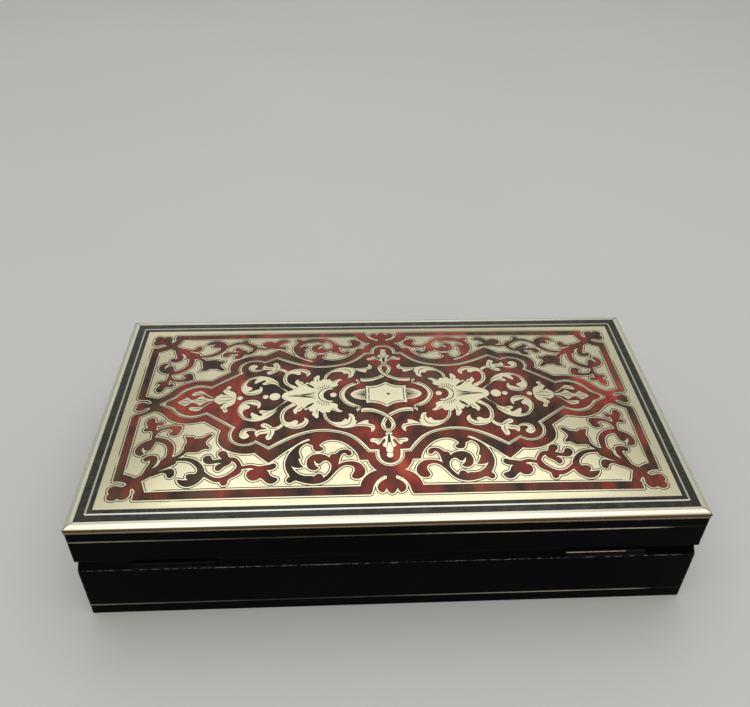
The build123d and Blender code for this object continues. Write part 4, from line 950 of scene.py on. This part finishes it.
def velvet_panel(name, low, high, face, puff, body):
    """Rounded panel between two corners, its soft side towards +X, -X, +Y, -Y, +Z or -Z."""
    axis = "XYZ".index(face[1])
    across = [i for i in range(3) if i != axis]
    sides = [high[i] - low[i] for i in across]
    counts = [max(2, round(side / VELVET_CELL)) for side in sides]
    soft, hard = (high[axis], low[axis]) if face[0] == "+" else (low[axis], high[axis])
    mesh = bmesh.new()

    def spot(i, j, depth):
        place = [0, 0, 0]
        place[across[0]] = low[across[0]] + sides[0] * i / counts[0]
        place[across[1]] = low[across[1]] + sides[1] * j / counts[1]
        place[axis] = depth
        return place

    def rise(i, j):
        """Share of the full thickness: rounded down at the rim, with slow slack waves inside."""
        rim = min(i, counts[0] - i, j, counts[1] - j)
        edge = RIM_SHARES[rim] if rim < len(RIM_SHARES) else 1.0
        wave = noise.noise(Vector((i * WAVE_RATE, j * WAVE_RATE, len(name) * WAVE_SHIFT)))
        return edge * (1 - puff * (0.5 + 0.5 * wave))

    rows = {}
    for i in range(counts[0] + 1):
        for j in range(counts[1] + 1):
            rows[i, j] = mesh.verts.new(spot(i, j, hard + (soft - hard) * rise(i, j)))
    under = {}
    for i, j in rows:
        if i in (0, counts[0]) or j in (0, counts[1]):
            under[i, j] = mesh.verts.new(spot(i, j, hard))
    for i in range(counts[0]):
        for j in range(counts[1]):
            mesh.faces.new((rows[i, j], rows[i + 1, j], rows[i + 1, j + 1], rows[i, j + 1]))
    rim = [(i, 0) for i in range(counts[0])] + [(counts[0], j) for j in range(counts[1])]
    rim += [(i, counts[1]) for i in range(counts[0], 0, -1)] + [(0, j) for j in range(counts[1], 0, -1)]
    for a, b in zip(rim, rim[1:] + rim[:1]):
        mesh.faces.new((rows[b], rows[a], under[a], under[b]))
    mesh.faces.new([under[spot] for spot in reversed(rim)])
    bmesh.ops.recalc_face_normals(mesh, faces=mesh.faces)
    data = bpy.data.meshes.new(name)
    mesh.to_mesh(data)
    mesh.free()
    data.materials.append(VELVET)
    data.shade_smooth()
    panel = bpy.data.objects.new(name, data)
    bpy.context.scene.collection.objects.link(panel)
    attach(panel, body)
    return panel


VELVET = velvet()


def line_the_box():
    """Velvet in place of the plain linings of floor, walls and lid."""
    low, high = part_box("base_floor_lining")
    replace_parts(velvet_panel("floor_pad", low, high, "+Z", 0.12, "base"), "base_floor_lining")
    low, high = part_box("base_wall_lining")
    left = low.x + WALL_CARD_THICK
    right = high.x - WALL_CARD_THICK
    front = low.y + WALL_CARD_THICK
    back = high.y - WALL_CARD_THICK
    cards = [
        velvet_panel("front_card", low, (high.x, front, high.z), "+Y", WALL_PUFF, "base"),
        velvet_panel("back_card", (low.x, back, low.z), high, "-Y", WALL_PUFF, "base"),
        velvet_panel("left_card", (low.x, front, low.z), (left, back, high.z), "+X", WALL_PUFF, "base"),
        velvet_panel("right_card", (right, front, low.z), (high.x, back, high.z), "-X", WALL_PUFF, "base"),
    ]
    for card in cards:
        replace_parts(card, "base_wall_lining")
    low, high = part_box("lid_lining")
    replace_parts(velvet_panel("lid_card", low, high, "-Z", 0.15, "lid"), "lid_lining")


line_the_box()


# Floor, light and camera.
def soft_floor():
    """Plain pale floor."""
    size = 3.0
    mesh = bpy.data.meshes.new("floor")
    mesh.from_pydata(
        [(-size, -size, 0), (size, -size, 0), (size, size, 0), (-size, size, 0)], [], [(0, 1, 2, 3)]
    )
    kit = Finish("floor_paint")
    speckle = kit.cloud(kit.place(), 3.0, 3.0, 0.5)
    kit.set(base_color=kit.mix(speckle, (0.58, 0.585, 0.58, 1), (0.63, 0.635, 0.63, 1)))
    kit.set(roughness=0.6)
    mesh.materials.append(kit.material)
    floor = bpy.data.objects.new("floor", mesh)
    bpy.context.scene.collection.objects.link(floor)


def window_light(name, place, target, size, power, colour):
    """Soft light from a rectangle that faces a target; power in watts."""
    data = bpy.data.lights.new(name, "AREA")
    data.shape = "RECTANGLE"
    data.size, data.size_y = size
    data.energy = power
    data.color = colour
    lamp = bpy.data.objects.new(name, data)
    lamp.location = place
    lamp.rotation_euler = (Vector(target) - Vector(place)).to_track_quat("-Z", "Y").to_euler()
    bpy.context.scene.collection.objects.link(lamp)


def studio():
    """Floor, a pale room and three soft lights."""
    soft_floor()
    world = bpy.data.worlds.new("studio")
    bpy.context.scene.world = world
    world.use_nodes = True
    back = world.node_tree.nodes["Background"]
    back.inputs["Color"].default_value = (1.0, 0.995, 0.96, 1)
    back.inputs["Strength"].default_value = 0.5
    window_light("tall_window", (0, -1.12, 1.28), (0, 0, 0), (1.1, 1.2), 1.8, (1.0, 1.0, 0.98))
    window_light("ceiling", (-0.08, 0.22, 1.35), (-0.08, 0.22, 0), (1.75, 1.86), 8.2, (1.0, 0.99, 0.96))
    window_light("window_behind", (0.1, 1.2, 1.0), (0, 0, 0), (1.2, 0.7), 2.2, (1.0, 0.99, 0.96))


# Camera as fitted to the lid: its place and directions, then its lens and centre in the photograph's pixels.
CAMERA_PLACE = Vector((0.01949, 0.29838, 0.33225))
CAMERA_SIGHT = Vector((-0.05104, -0.78235, -0.62075))
CAMERA_UP = Vector((-0.01452, -0.62091, 0.78375))
PICTURE_WIDE = 750
PICTURE_HIGH = 707
FOCAL_PIXELS = 766.75
CENTRE_X = 387.16
CENTRE_Y = 356.47
SENSOR_MM = 36.0


def photograph_camera():
    """Camera that sees the box as the photograph does."""
    data = bpy.data.cameras.new("camera")
    data.sensor_width = SENSOR_MM
    data.lens = FOCAL_PIXELS / PICTURE_WIDE * SENSOR_MM
    data.shift_x = (PICTURE_WIDE / 2 - CENTRE_X) / PICTURE_WIDE
    data.shift_y = (CENTRE_Y - PICTURE_HIGH / 2) / PICTURE_WIDE
    data.clip_start = 0.01
    camera = bpy.data.objects.new("camera", data)
    back = -CAMERA_SIGHT.normalized()
    right = CAMERA_UP.cross(back).normalized()
    up = back.cross(right)
    turn = Matrix((right, up, back)).transposed()
    camera.matrix_world = Matrix.Translation(CAMERA_PLACE) @ turn.to_4x4()
    bpy.context.scene.collection.objects.link(camera)
    bpy.context.scene.camera = camera


studio()
photograph_camera()
bpy.context.scene.view_settings.view_transform = "Standard"
